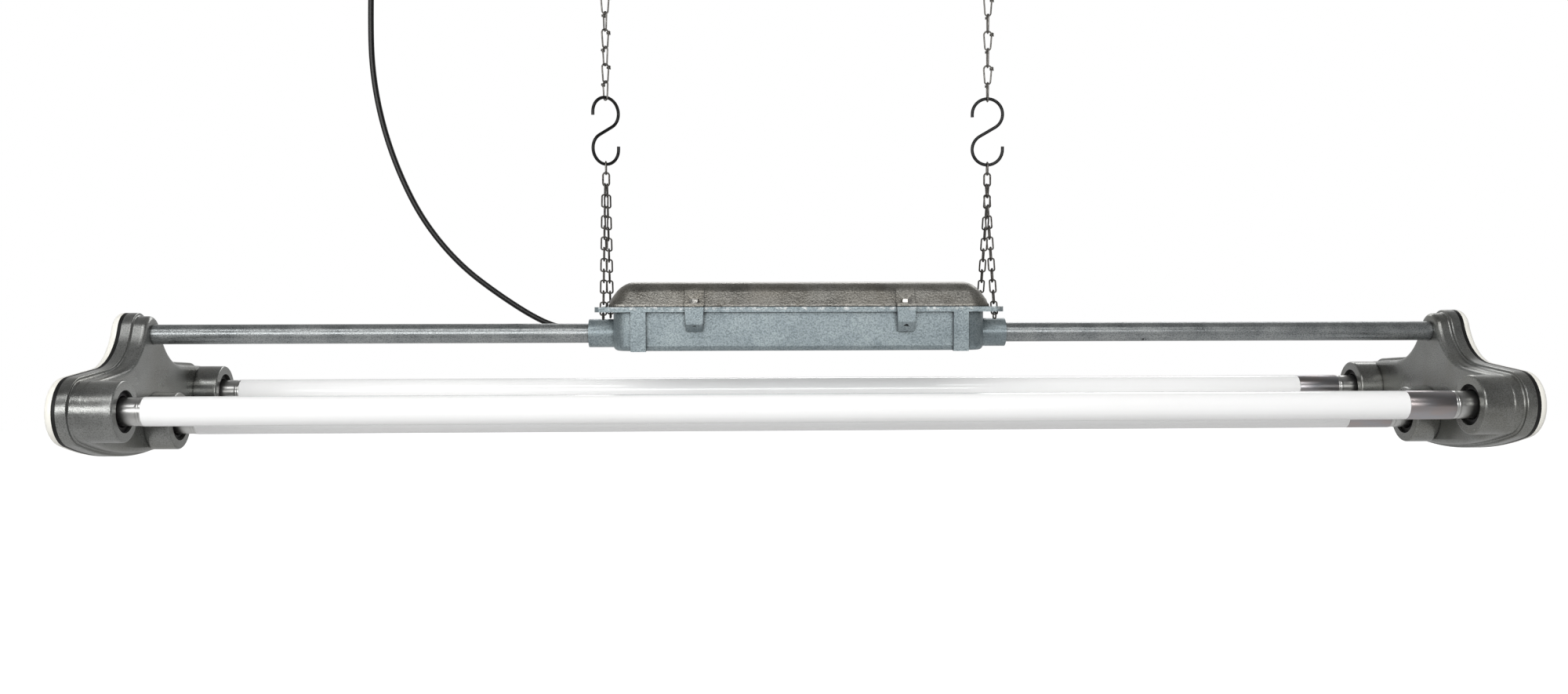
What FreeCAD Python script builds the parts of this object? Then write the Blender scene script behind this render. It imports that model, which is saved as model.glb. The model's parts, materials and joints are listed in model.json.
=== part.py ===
import FreeCAD, Part
import math
import os
import re
from types import SimpleNamespace

from FreeCAD import Placement, Rotation, Vector

# Hanging shop light: three straight tubes between two lobed cast heads, joined by conduits to a
# gear box that hangs from two bridles of short chain, two S-hooks and two knotted chains.
#
# X runs along the tubes, Y from front to rear, Z up. The origin lies between the two hooks that
# carry the chains, at the underside of the top links' wire. Heights in this file are counted from
# the conduits' axis, which lies hang_drop lower.

# ---------------------------------------------------------------- driving sizes, mm and degrees
SIZES = (
    ("hang_drop", 353.5, "conduit axis below the bearing point of the chains"),
    ("joint_gap", 0.1, "play between linked wires"),
    ("hook_gap", 0.25, "play between an S-hook and the wire that hangs in it"),
    ("running_gap", 0.3, "play between a turning or lifting piece and what guides it"),
    ("seat_gap", 0.05, "play of a shank or spigot in its hole"),
    # tubes
    ("lamp_shift", 5.0, "tubes and heads to the right of the box's middle"),
    ("tube_length", 1200.0, "tube over its caps, without pins"),
    ("tube_diameter", 25.8, "opal tube"),
    ("tube_wall", 1.2, "opal tube"),
    ("tube_half_spacing", 116.6, "front and rear tubes, from the middle"),
    ("outer_tube_drop", 63.2, "front and rear tubes below the conduit axis"),
    ("lower_tube_drop", 82.0, "lower tube below the conduit axis"),
    ("cap_length", 25.0, "aluminium end cap"),
    ("cap_inset", 0.5, "cap's radius less than the tube's"),
    ("cap_rib", 0.35, "rib round the cap's inner end, above the cap"),
    ("cap_rib_width", 2.2, "rib round the cap's inner end"),
    ("sleeve_length", 42.0, "foil-wrapped end of the tube, right"),
    ("pin_spacing", 12.7, "two pins, centre to centre"),
    ("pin_diameter", 2.4, "contact pin"),
    ("pin_length", 7.0, "contact pin"),
    # end heads
    ("boss_overlap", 8.0, "tube's end inside the face of its boss"),
    ("boss_radius", 26.9, "tube boss"),
    ("bore_radius", 18.6, "tube boss, inside"),
    ("boss_edge", 2.0, "rounding of the boss face"),
    ("head_setback", 15.0, "inner face of the head beyond the tube's end"),
    ("head_depth", 13.0, "head from its inner face to the rim"),
    ("head_edge", 5.0, "rounding round the inner face"),
    ("head_wall", 4.0, "casting wall"),
    ("rim_depth", 9.0, "rim of the head"),
    ("rim_lip", 3.2, "rim proud of the head's side"),
    ("rim_groove", 1.6, "hollow between the side and the rim"),
    ("rim_edge", 1.2, "rounding of the rim's inner edge"),
    ("top_lobe_radius", 17.3, "head outline round the conduit"),
    ("flank_radius", 58.2, "hollow flank of the outline"),
    ("side_lobe_margin", 0.4, "outline beyond the outer bosses"),
    ("shoulder_slope", 4.3, "fall of the shoulder, degrees"),
    ("bottom_margin", 0.8, "outline below the lower boss"),
    ("post_radius", 4.6, "cover screw post"),
    ("post_hole_radius", 1.75, "cover screw post"),
    ("post_hole_depth", 14.0, "cover screw post"),
    ("post_top_drop", 27.0, "upper post below the conduit axis"),
    ("post_side_offset", 64.0, "side posts, from the middle"),
    ("post_side_drop", 49.0, "side posts below the conduit axis"),
    ("post_low_offset", 62.0, "low posts, from the middle"),
    ("post_low_drop", 90.0, "low posts below the conduit axis"),
    ("collar_radius", 13.5, "collar round the conduit, inside the head"),
    ("collar_length", 7.0, "collar inside the head"),
    # gasket, cover and screws of the heads
    ("gasket_thickness", 3.4, "cover gasket"),
    ("gasket_width", 6.0, "cover gasket"),
    ("cover_depth", 7.6, "end cover"),
    ("cover_wall", 3.0, "end cover"),
    ("cover_hollow", 4.6, "depth of the hollow in the end cover"),
    ("cover_edge", 6.4, "rounding of the end cover"),
    ("cover_screw_radius", 1.7, "cover screw shank"),
    ("cover_screw_head", 4.2, "cover screw head radius"),
    ("cover_screw_head_height", 2.6, "cover screw head"),
    # lampholders and sealing rings
    ("holder_radius", 17.6, "lampholder in the bore"),
    ("holder_flange", 21.0, "lampholder's flange radius"),
    ("holder_flange_thickness", 3.0, "lampholder's flange"),
    ("holder_back_radius", 15.0, "lampholder behind its flange"),
    ("holder_back_length", 8.0, "lampholder behind its flange"),
    ("holder_recess_radius", 8.6, "round recess for the pins"),
    ("holder_recess_depth", 8.2, "round recess for the pins"),
    ("holder_core_radius", 4.2, "core between the pins"),
    ("ring_setback", 2.2, "sealing ring behind the boss face"),
    ("ring_thickness", 5.0, "sealing ring"),
    # conduits
    ("conduit_diameter", 18.6, "steel conduit"),
    ("conduit_wall", 1.4, "steel conduit"),
    ("conduit_engagement", 18.0, "conduit inside the box socket"),
    ("nut_thickness", 4.5, "conduit lock nut"),
    # gear box
    ("box_half_length", 175.0, "box body"),
    ("box_half_depth", 43.0, "box body at its panels"),
    ("box_corner", 20.0, "box body corners"),
    ("box_wall", 4.0, "box body wall"),
    ("box_bottom", 15.8, "box underside below the conduit axis"),
    ("box_bottom_edge", 5.0, "rounding of the underside"),
    ("flange_top", 25.2, "flange top above the conduit axis"),
    ("flange_thickness", 4.7, "flange"),
    ("flange_end_reach", 8.0, "flange beyond the body's ends"),
    ("flange_side_reach", 4.0, "flange beyond the body's sides"),
    ("flange_corner", 22.0, "flange corners between the ears"),
    ("ear_radius", 8.0, "corner ear"),
    ("ear_hole_radius", 4.5, "corner ear"),
    ("ear_overhang", 0.1, "ear holes beyond the flange's end"),
    ("pad_setback", 24.5, "upright pads, from the body's ends"),
    ("pad_half_width", 7.0, "upright pad"),
    ("pad_foot", 0.5, "pads below the underside"),
    ("lug_offset", 98.5, "bolt lugs, from the middle"),
    ("lug_half_width", 8.8, "bolt lug at the flange"),
    ("lug_foot_half_width", 7.3, "bolt lug at its lower end"),
    ("lug_overhang", 6.0, "bolt lug's face beyond the flange's side"),
    ("lug_height", 23.0, "bolt lug below the flange top"),
    ("lug_slope_height", 9.0, "slope under the bolt lug"),
    ("lug_slope_depth", 7.0, "slope under the bolt lug"),
    ("socket_radius", 13.5, "conduit socket"),
    ("socket_length", 25.0, "conduit socket beyond the body's end"),
    ("socket_way_radius", 7.0, "wire way from the socket into the box"),
    ("gland_side", 24.0, "gland, behind the middle plane"),
    ("gland_height", 2.5, "gland above the conduit axis"),
    ("gland_boss_radius", 9.5, "boss for the gland"),
    ("gland_boss_length", 7.0, "boss for the gland beyond the body's end"),
    ("gland_hole_radius", 6.1, "hole for the gland"),
    ("gland_seat_radius", 10.5, "seat for the gland's lock nut inside the end wall"),
    ("gland_seat_depth", 6.0, "seat for the gland's lock nut inside the end wall"),
    ("tray_post_radius", 4.5, "post under the tray"),
    ("tray_post_height", 5.0, "post under the tray"),
    # lid
    ("lid_gasket_thickness", 0.8, "lid gasket"),
    ("lid_end_setback", 4.7, "lid lip inside the flange's ends"),
    ("lid_side_setback", 1.4, "lid lip inside the flange's sides"),
    ("lid_corner", 22.0, "lid lip corners"),
    ("lid_lip", 1.8, "lid lip thickness"),
    ("dome_inset", 1.8, "dome behind the lip"),
    ("dome_height", 20.7, "dome above the lip"),
    ("dome_slope", 28.0, "lean of the dome's sides, degrees"),
    ("dome_edge", 18.0, "rounding of the dome"),
    ("lid_wall", 3.2, "lid wall"),
    ("band_rise", 1.8, "raised band on the dome at each bolt"),
    ("band_height", 15.2, "raised band above the lip"),
    ("foot_thickness", 2.6, "bolt foot of the lid"),
    ("bolt_setback", 4.4, "lid bolts inside the lugs' faces"),
    ("bolt_radius", 2.5, "lid bolt shank"),
    ("bolt_hole_radius", 2.8, "hole for the lid bolt"),
    ("bolt_length", 16.0, "lid bolt under its washer"),
    ("bolt_hole_depth", 18.0, "hole in the box lug"),
    ("bolt_across", 8.0, "lid bolt head across its flats"),
    ("bolt_head_height", 3.4, "lid bolt head"),
    ("washer_radius", 5.0, "washer under the lid bolt's head"),
    ("washer_thickness", 0.8, "washer under the lid bolt's head"),
    # inside the gear box
    ("tray_end_gap", 35.0, "mounting tray from the body's ends"),
    ("tray_side_gap", 10.0, "mounting tray from the body's sides"),
    ("tray_thickness", 1.5, "mounting tray"),
    ("tray_fold", 8.0, "upturned edge of the mounting tray"),
    ("tray_post_inset", 20.0, "tray posts from the tray's ends"),
    ("tray_post_side_inset", 8.0, "tray posts from the tray's sides"),
    ("tray_hole_radius", 2.3, "screw hole of the tray"),
    ("terminal_offset", 70.0, "terminal block, left of the middle"),
    ("terminal_pitch", 10.0, "one way of the terminal block"),
    ("terminal_ways", 5, "ways of the terminal block"),
    ("terminal_depth", 18.0, "terminal block"),
    ("terminal_height", 13.0, "terminal block"),
    ("terminal_screw_radius", 2.2, "screw well of the terminal block"),
    ("tray_screw_head", 3.8, "tray screw head radius"),
    # gland
    ("gland_thread_radius", 6.0, "gland thread"),
    ("gland_hex_across", 17.0, "gland body across its flats"),
    ("gland_hex_length", 4.0, "gland body"),
    ("gland_nut_radius", 8.0, "gland nut"),
    ("gland_tip_radius", 4.6, "gland nut at its tip"),
    ("gland_nut_length", 9.0, "gland nut's round part"),
    ("gland_taper_length", 9.0, "gland nut's tapered part"),
    ("gland_lock_nut", 4.0, "lock nut inside the box"),
    # hooks and chains
    ("hook_wire", 3.1, "S-hook wire"),
    ("hook_bend", 14.7, "S-hook bend, to the wire's centre"),
    ("hook_height", 66.5, "S-hook outside"),
    ("hook_base", 159.6, "underside of the S-hook above the conduit axis"),
    ("hook_tail", 3.5, "straight end of the S-hook"),
    ("hook_end_edge", 0.7, "rounding of the S-hook's ends"),
    ("left_twist", 40.0, "turn of the left S-hook about the vertical, degrees"),
    ("twist_links", 3, "links over which the left chain takes that turn"),
    ("knot_wire", 1.6, "knotted chain wire"),
    ("knot_links", 8, "links of each knotted chain"),
    ("knot_shoulder", 4.0, "upper bend of a knotted link, to the wire's centre"),
    ("knot_toe", 2.6, "lower bend of a knotted link, to the wire's centre"),
    ("wrap_radius", 1.55, "wire end wrapped round the link, to its centre"),
    ("wrap_wire", 1.3, "wrapped wire end"),
    ("wire_link_wire", 1.5, "wire link under the S-hook"),
    ("wire_link_bend", 3.6, "wire link bend, to the wire's centre"),
    ("wire_link_length", 12.3, "wire link between its wires' centres"),
    ("apex_wire", 1.8, "apex link"),
    ("apex_bend", 3.0, "apex link bend, to the wire's centre"),
    ("apex_length", 12.8, "apex link between its wires' centres"),
    ("bridle_wire", 1.6, "bridle chain wire"),
    ("bridle_links", 12, "links of each bridle chain"),
    ("bridle_half_width", 2.8, "bridle link, to the wire's centre"),
    ("bridle_corner", 1.5, "bevel of a bridle link's corners"),
    ("bridle_side_step", 0.95, "front and rear bridle chains at the apex link"),
    # supply cable
    ("cable_diameter", 5.5, "supply cable"),
    ("connector_pitch", 8.0, "one way of the supply connector"),
    ("connector_ways", 3, "ways of the supply connector"),
    ("connector_length", 20.0, "supply connector"),
    ("connector_depth", 11.0, "supply connector"),
    ("core_radius", 1.3, "core of the supply cable"),
    ("core_length", 16.0, "bare run of the cores"),
    ("core_spread", 8.0, "cores apart at the connector"),
)

# What follows from them.
DERIVED = (
    ("boss_face", "tube_length / 2 - boss_overlap"),
    ("head_face", "tube_length / 2 + head_setback"),
    ("rim_face", "head_face + head_depth + rim_depth"),
    ("cover_face", "rim_face + gasket_thickness"),
    ("nut_across", "(top_lobe_radius - head_wall - running_gap) * sqrt(3)"),
    ("flange_half_length", "box_half_length + flange_end_reach"),
    ("flange_half_depth", "box_half_depth + flange_side_reach"),
    ("hang_half_span", "flange_half_length + ear_overhang"),
    ("ear_side", "flange_half_depth - ear_radius"),
    ("pad_offset", "box_half_length - pad_setback"),
    ("lug_reach", "flange_half_depth + lug_overhang"),
    ("bolt_offset", "lug_reach - bolt_setback"),
    ("socket_end", "box_half_length + socket_length"),
    ("gland_boss_end", "box_half_length + gland_boss_length"),
    ("lid_half_length", "flange_half_length - lid_end_setback"),
    ("lid_half_depth", "flange_half_depth - lid_side_setback"),
    ("lid_base", "flange_top + lid_gasket_thickness"),
    ("tray_half_length", "box_half_length - tray_end_gap"),
    ("tray_half_depth", "box_half_depth - tray_side_gap"),
    ("tray_post_offset", "tray_half_length - tray_post_inset"),
    ("tray_post_side", "tray_half_depth - tray_post_side_inset"),
    ("tray_level", "box_wall - box_bottom + tray_post_height"),
)

# Sides of the polygon that stands for a chain wire's section, and straight runs in its round bends.
WIRE_SIDES = 6
BEND_FLATS = 4

# The cable's route from the gland to the ceiling end, chosen to hang as the real one does:
# distance left of the middle and height over the conduit axis, in the gland's plane.
CABLE_ROUTE = (
    (198.0, 2.5),
    (221.2, 2.5),
    (248.8, 10.5),
    (290.7, 37.4),
    (328.2, 66.9),
    (360.4, 106.3),
    (382.6, 149.9),
    (399.0, 198.0),
    (408.3, 248.0),
    (409.8, 298.5),
    (408.0, 348.5),
)

doc = FreeCAD.newDocument("hanging_shop_light")
sheet = doc.addObject("Spreadsheet::Sheet", "sizes")
for row, (name, value, meaning) in enumerate(SIZES, start=1):
    sheet.set(f"A{row}", meaning)
    sheet.set(f"B{row}", str(value))
    sheet.setAlias(f"B{row}", name)
doc.recompute()
NAMES = {name for name, _, _ in SIZES}
RULES = dict(DERIVED)


def formula(text):
    """The expression text with each size's name led back to its cell in the sheet."""

    def cell(word):
        name = word[0]
        if name in RULES:
            return f"({formula(RULES[name])})"
        return f"sizes.{name}" if name in NAMES else name

    return re.sub(r"[a-z][a-z_]*", cell, text)


derived = doc.addObject("App::FeaturePython", "derived_sizes")
for name, rule in DERIVED:
    derived.addProperty("App::PropertyFloat", name)
    derived.setExpression(name, formula(rule))
doc.recompute()
size = SimpleNamespace(**{name: float(sheet.get(name)) for name, _, _ in SIZES})
for name, _ in DERIVED:
    setattr(size, name, getattr(derived, name))

nodes = []
heights = {}


# ---------------------------------------------------------------- helpers
def bind(piece, **expressions):
    """Ties properties of a piece to the sheet."""
    for prop, text in expressions.items():
        piece.setExpression(prop, formula(text))


def place(piece, x="0", y="0", z="0"):
    """Ties a piece's position to the sheet."""
    for axis, text in (("x", x), ("y", y), ("z", z)):
        piece.setExpression(f"Placement.Base.{axis}", formula(text))
    heights[piece.Name] = z


def node(piece, label, shift="0"):
    """Names a finished piece and hangs it hang_drop below the chains' bearing point."""
    piece.Label = label
    height = heights.get(piece.Name, "0")
    if shift != "0":
        piece.setExpression("Placement.Base.x", formula(shift))
    piece.setExpression("Placement.Base.z", formula(f"{height} - hang_drop"))
    nodes.append(piece)
    return piece


def shape_node(shape, label):
    """A finished piece whose shape is made directly."""
    piece = doc.addObject("Part::Feature", label)
    piece.Shape = shape
    piece.Placement = Placement(Vector(0, 0, -size.hang_drop), Rotation())
    piece.Label = label
    nodes.append(piece)
    return piece


def mirrored(source, label):
    """The left-hand copy of a finished right-hand piece."""
    piece = doc.addObject("Part::Mirroring", label)
    piece.Source = source
    piece.Normal = Vector(1, 0, 0)
    piece.setExpression("Base.x", formula("lamp_shift"))
    piece.Label = label
    nodes.append(piece)
    return piece


def fused(name, pieces):
    """Several solids joined into one."""
    piece = doc.addObject("Part::MultiFuse", name)
    piece.Shapes = pieces
    return piece


def cut(name, base, tool):
    """One solid less another."""
    piece = doc.addObject("Part::Cut", name)
    piece.Base = base
    piece.Tool = tool
    return piece


def group(name, pieces):
    """Separate solids that share one node."""
    piece = doc.addObject("Part::Compound", name)
    piece.Links = pieces
    return piece


def cylinder(name, radius, length, x="0", y="0", z="0", along=Vector(0, 0, 1)):
    """A cylinder that starts at a point and runs along a direction."""
    piece = doc.addObject("Part::Cylinder", name)
    piece.Placement = Placement(Vector(), Rotation(Vector(0, 0, 1), along))
    bind(piece, Radius=radius, Height=length)
    place(piece, x, y, z)
    return piece


def prism(name, across, length, x="0", y="0", z="0", along=Vector(0, 0, 1)):
    """A hexagonal prism of a given width across its flats."""
    piece = doc.addObject("Part::Prism", name)
    piece.Polygon = 6
    piece.Placement = Placement(Vector(), Rotation(Vector(0, 0, 1), along))
    bind(piece, Circumradius=f"({across}) / (2 * cos(30))", Height=length)
    place(piece, x, y, z)
    return piece


def block(name, length, width, height, x="0", y="0", z="0"):
    """A box from its lowest corner."""
    piece = doc.addObject("Part::Box", name)
    bind(piece, Length=length, Width=width, Height=height)
    place(piece, x, y, z)
    return piece


def sketch(body, plane, edges, offset="0"):
    """A sketch on one of the body's own planes, moved along the plane's normal."""
    drawing = body.newObject("Sketcher::SketchObject", f"{body.Name}_sketch")
    support = next(item for item in body.Origin.OriginFeatures if item.Role == f"{plane}_Plane")
    drawing.AttachmentSupport = [(support, "")]
    drawing.MapMode = "FlatFace"
    drawing.setExpression("AttachmentOffset.Base.z", formula(offset))
    drawing.addGeometry(edges, False)
    return drawing


def feature(body, kind, profile, length=None, **settings):
    """A sketch-based feature of a body, with its length tied to the sheet."""
    step = body.newObject(f"PartDesign::{kind}", f"{body.Name}_{kind.lower()}")
    step.Profile = profile
    for prop, value in settings.items():
        setattr(step, prop, value)
    if length is not None:
        bind(step, Length=length)
    profile.Visibility = False
    doc.recompute()
    return step


def edges_of(step, test):
    """Names of a feature's edges whose middle passes a test."""
    found = []
    for number, edge in enumerate(step.Shape.Edges, start=1):
        middle = edge.valueAt((edge.FirstParameter + edge.LastParameter) / 2)
        if test(edge, middle):
            found.append(f"Edge{number}")
    return found


def rounded(body, step, radius, test):
    """Rounds the edges that pass a test."""
    edge_names = edges_of(step, test)
    fillet = body.newObject("PartDesign::Fillet", f"{body.Name}_fillet")
    fillet.Base = (step, edge_names)
    bind(fillet, Radius=radius)
    doc.recompute()
    return fillet


def new_body(label):
    """An empty body that will carry a node's name."""
    return doc.addObject("PartDesign::Body", label)


def near(a, b):
    """Whether two lengths are the same."""
    return abs(a - b) < 1e-3


def arc(centre, radius, start, end):
    """An arc in the sketch plane, counter-clockwise, angles in radians."""
    return Part.ArcOfCircle(Part.Circle(Vector(*centre, 0), Vector(0, 0, 1), radius), start, end)


def line(start, end):
    """A straight edge in the sketch plane."""
    return Part.LineSegment(Vector(*start, 0), Vector(*end, 0))


def circle(centre, radius):
    """A full circle in the sketch plane."""
    return Part.Circle(Vector(*centre, 0), Vector(0, 0, 1), radius)


def polygon(points):
    """A closed outline of straight edges."""
    return [line(start, end) for start, end in zip(points, points[1:] + points[:1])]


def rounded_rectangle(half_x, half_y, corner):
    """A rectangle round the origin with round corners."""
    quarter = math.pi / 2
    x, y = half_x - corner, half_y - corner
    edges = []
    for turn, (cx, cy) in enumerate(((x, y), (-x, y), (-x, -y), (x, -y))):
        edges.append(arc((cx, cy), corner, turn * quarter, (turn + 1) * quarter))
    edges.append(line((-x, half_y), (x, half_y)))
    edges.append(line((-half_x, -y), (-half_x, y)))
    edges.append(line((-x, -half_y), (x, -half_y)))
    edges.append(line((half_x, -y), (half_x, y)))
    return edges


def turned(label, profile, x="0", y="0", z="0"):
    """A piece turned about an axis along X: profile gives distance along and from the axis."""
    body = new_body(label)
    drawing = sketch(body, "XY", polygon(list(profile)))
    turn = body.newObject("PartDesign::Revolution", f"{body.Name}_turn")
    turn.Profile = drawing
    turn.ReferenceAxis = (drawing, ["H_Axis"])
    turn.Angle = 360
    place(body, x, y, z)
    return body


def faceted_wire(path, normal, radius, closed=True):
    """A wire of polygonal section along a flat path of straight runs with mitred corners."""
    count = len(path)
    rings = []
    for index, point in enumerate(path):
        before = point - path[index - 1]
        after = path[(index + 1) % count] - point
        if not closed and index == 0:
            before = after
        if not closed and index == count - 1:
            after = before
        before.normalize()
        after.normalize()
        side = normal.cross(before) + normal.cross(after)
        side.normalize()
        stretch = 1 / side.dot(normal.cross(after))
        ring = []
        for step in range(WIRE_SIDES):
            angle = 2 * math.pi * (step + 0.5) / WIRE_SIDES
            across = side * (stretch * math.sin(angle))
            ring.append(point + (normal * math.cos(angle) + across) * radius)
        rings.append(ring)
    faces = []
    spans = count if closed else count - 1
    for index in range(spans):
        here, there = rings[index], rings[(index + 1) % count]
        for step in range(WIRE_SIDES):
            ahead = (step + 1) % WIRE_SIDES
            corners = [here[step], here[ahead], there[ahead], there[step], here[step]]
            faces.append(Part.Face(Part.makePolygon(corners)))
    if not closed:
        faces.append(Part.Face(Part.makePolygon(rings[0] + rings[0][:1])))
        faces.append(Part.Face(Part.makePolygon(rings[-1] + rings[-1][:1])))
    shell = Part.makeShell(faces)
    shell.sewShape()
    solid = Part.makeSolid(shell)
    if solid.Volume < 0:
        solid.reverse()
    return solid


def link_path(length, top_bend, bottom_bend):
    """Centre line of a link with round ends, as (across, up) from its top wire, in straight runs."""
    run = length - top_bend - bottom_bend
    lean = math.asin((top_bend - bottom_bend) / run)
    bends = (
        (top_bend, -top_bend, -lean, math.pi + 2 * lean),
        (bottom_bend, bottom_bend - length, math.pi + lean, math.pi - 2 * lean),
    )
    points = []
    for bend, centre, start, sweep in bends:
        step = sweep / BEND_FLATS
        reach = bend / math.cos(step / 2)
        for flat in range(BEND_FLATS):
            angle = start + step * (flat + 0.5)
            points.append((reach * math.cos(angle), centre + reach * math.sin(angle)))
    return points


def bevelled_path(length, half_width, bevel):
    """Centre line of an angular link, as (across, up) from its top wire."""
    inner = half_width - bevel
    return [
        (inner, 0.0),
        (-inner, 0.0),
        (-half_width, -bevel),
        (-half_width, bevel - length),
        (-inner, -length),
        (inner, -length),
        (half_width, bevel - length),
        (half_width, -bevel),
    ]


def chain_link(outline, wire, top, across, along):
    """One link: its outline is laid out from its top wire's centre in a given plane."""
    path = [top + across * u - along * v for u, v in outline]
    return faceted_wire(path, across.cross(along), wire / 2)


def turned_vector(degrees):
    """The direction along X turned about the vertical."""
    return Vector(math.cos(math.radians(degrees)), math.sin(math.radians(degrees)), 0)


# ---------------------------------------------------------------- outline of the heads
def lobed_outline(grow):
    """Outline of the head in (y, z), moved outwards by grow.

    A top lobe round the conduit runs through two hollow flanks and sloping shoulders into a side
    lobe round each outer boss, and one wide arc closes it below the lower boss.
    """
    slope = math.radians(size.shoulder_slope)
    side_radius = size.boss_radius + size.side_lobe_margin
    side = (size.tube_half_spacing, -size.outer_tube_drop)
    normal = (math.sin(slope), math.cos(slope))
    along = (math.cos(slope), -math.sin(slope))
    reach = side_radius + size.flank_radius
    corner = (side[0] + reach * normal[0], side[1] + reach * normal[1])
    ahead = corner[0] * along[0] + corner[1] * along[1]
    far = corner[0] ** 2 + corner[1] ** 2
    shift = ahead - math.sqrt(ahead**2 - far + (size.top_lobe_radius + size.flank_radius) ** 2)
    flank = (corner[0] - shift * along[0], corner[1] - shift * along[1])
    flank_angle = math.atan2(flank[1], flank[0])
    shoulder_angle = math.atan2(-normal[1], -normal[0])
    flank_radius = size.flank_radius - grow
    shoulder_start = (flank[0] - flank_radius * normal[0], flank[1] - flank_radius * normal[1])
    lobe_radius = side_radius + grow
    shoulder_end = (side[0] + lobe_radius * normal[0], side[1] + lobe_radius * normal[1])
    depth = size.lower_tube_drop + size.boss_radius + size.bottom_margin + side[1]
    wide = (side[0] ** 2 + depth**2 - side_radius**2) / (2 * (depth - side_radius))
    wide_centre = wide - depth + side[1]
    low_angle = math.atan2(side[1] - wide_centre, side[0])
    turn = math.pi
    edges = [
        arc((0, 0), size.top_lobe_radius + grow, flank_angle, turn - flank_angle),
        arc((0, wide_centre), wide + grow, -turn - low_angle, low_angle),
    ]
    for sign in (1, -1):
        pairs = (
            (flank, flank_radius, flank_angle - turn, shoulder_angle),
            (side, lobe_radius, low_angle, turn / 2 - slope),
        )
        for centre, radius, start, end in pairs:
            if sign < 0:
                start, end = turn - end, turn - start
            edges.append(arc((sign * centre[0], centre[1]), radius, start, end))
        edges.append(line((sign * shoulder_start[0], shoulder_start[1]), (sign * shoulder_end[0], shoulder_end[1])))
    return edges


def lamp_centres():
    """Front, rear and lower tube in (y, z)."""
    return {
        "front": (-size.tube_half_spacing, -size.outer_tube_drop),
        "rear": (size.tube_half_spacing, -size.outer_tube_drop),
        "lower": (0.0, -size.lower_tube_drop),
    }


def post_centres():
    """Cover screw posts in (y, z)."""
    return (
        (0.0, -size.post_top_drop),
        (size.post_side_offset, -size.post_side_drop),
        (-size.post_side_offset, -size.post_side_drop),
        (size.post_low_offset, -size.post_low_drop),
        (-size.post_low_offset, -size.post_low_drop),
    )


LAMP_PLACES = {
    "front": ("-tube_half_spacing", "-outer_tube_drop"),
    "rear": ("tube_half_spacing", "-outer_tube_drop"),
    "lower": ("0", "-lower_tube_drop"),
}
POST_PLACES = (
    ("0", "-post_top_drop"),
    ("post_side_offset", "-post_side_drop"),
    ("-post_side_offset", "-post_side_drop"),
    ("post_low_offset", "-post_low_drop"),
    ("-post_low_offset", "-post_low_drop"),
)


# ---------------------------------------------------------------- end heads
def make_head():
    """Right head: hollow casting, open to the outside, with three tube bosses."""
    body = new_body("head_right")
    face = size.head_face
    rim_start = "head_face + head_depth"
    rim_end = "rim_face"
    floor = "head_face + head_wall"
    shell = feature(body, "Pad", sketch(body, "YZ", lobed_outline(0), "head_face"), "head_depth")
    rounded(body, shell, "head_edge", lambda edge, middle: near(middle.x, face) and edge.BoundBox.XLength < 1e-3)
    rim = feature(body, "Pad", sketch(body, "YZ", lobed_outline(size.rim_lip), rim_start), "rim_depth")
    step = face + size.head_depth
    outside = lobed_reach()
    rounded(
        body,
        rim,
        "rim_groove",
        lambda edge, middle: near(middle.x, step) and edge.BoundBox.XLength < 1e-3 and not outside(middle),
    )
    rounded(
        body,
        body.Tip,
        "rim_edge",
        lambda edge, middle: near(middle.x, step) and edge.BoundBox.XLength < 1e-3 and outside(middle),
    )
    bosses = [circle(centre, size.boss_radius) for centre in lamp_centres().values()]
    boss = feature(body, "Pad", sketch(body, "YZ", bosses, "boss_face"), "head_face - boss_face + head_wall")
    rounded(body, boss, "boss_edge", lambda edge, middle: near(middle.x, size.boss_face))
    feature(
        body,
        "Pocket",
        sketch(body, "YZ", lobed_outline(-size.head_wall), rim_end),
        "head_depth + rim_depth - head_wall",
    )
    collar = sketch(body, "YZ", [circle((0, 0), size.collar_radius)], floor)
    feature(body, "Pad", collar, "collar_length")
    posts = [circle(centre, size.post_radius) for centre in post_centres()]
    post_length = "head_depth + rim_depth - head_wall + gasket_thickness - joint_gap"
    feature(body, "Pad", sketch(body, "YZ", posts, floor), post_length)
    bores = [circle(centre, size.bore_radius) for centre in lamp_centres().values()]
    bore_sketch = sketch(body, "YZ", bores, "boss_face")
    feature(body, "Pocket", bore_sketch, "head_face - boss_face + head_depth + rim_depth", Reversed=True)
    way = sketch(body, "YZ", [circle((0, 0), size.conduit_diameter / 2 + size.seat_gap)], "head_face")
    feature(body, "Pocket", way, "head_depth + rim_depth", Reversed=True)
    holes = [circle(centre, size.post_hole_radius) for centre in post_centres()]
    hole_sketch = sketch(body, "YZ", holes, "cover_face")
    feature(body, "Pocket", hole_sketch, "post_hole_depth")
    return body


def lobed_reach():
    """A test of whether a point lies on the rim's outline rather than on the head's side."""
    border = Part.Wire(Part.__sortEdges__([edge.toShape() for edge in lobed_outline(size.rim_lip)]))

    def on_rim(point):
        spot = Part.Vertex(Vector(point.y, point.z, 0))
        return border.distToShape(spot)[0] < 0.05

    return on_rim


def make_cover_gasket():
    """Right cover gasket, a flat ring on the rim."""
    body = new_body("cover_gasket_right")
    start = "rim_face"
    ring = lobed_outline(size.rim_lip) + lobed_outline(size.rim_lip - size.gasket_width)
    feature(body, "Pad", sketch(body, "YZ", ring, start), "gasket_thickness")
    return body


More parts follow.
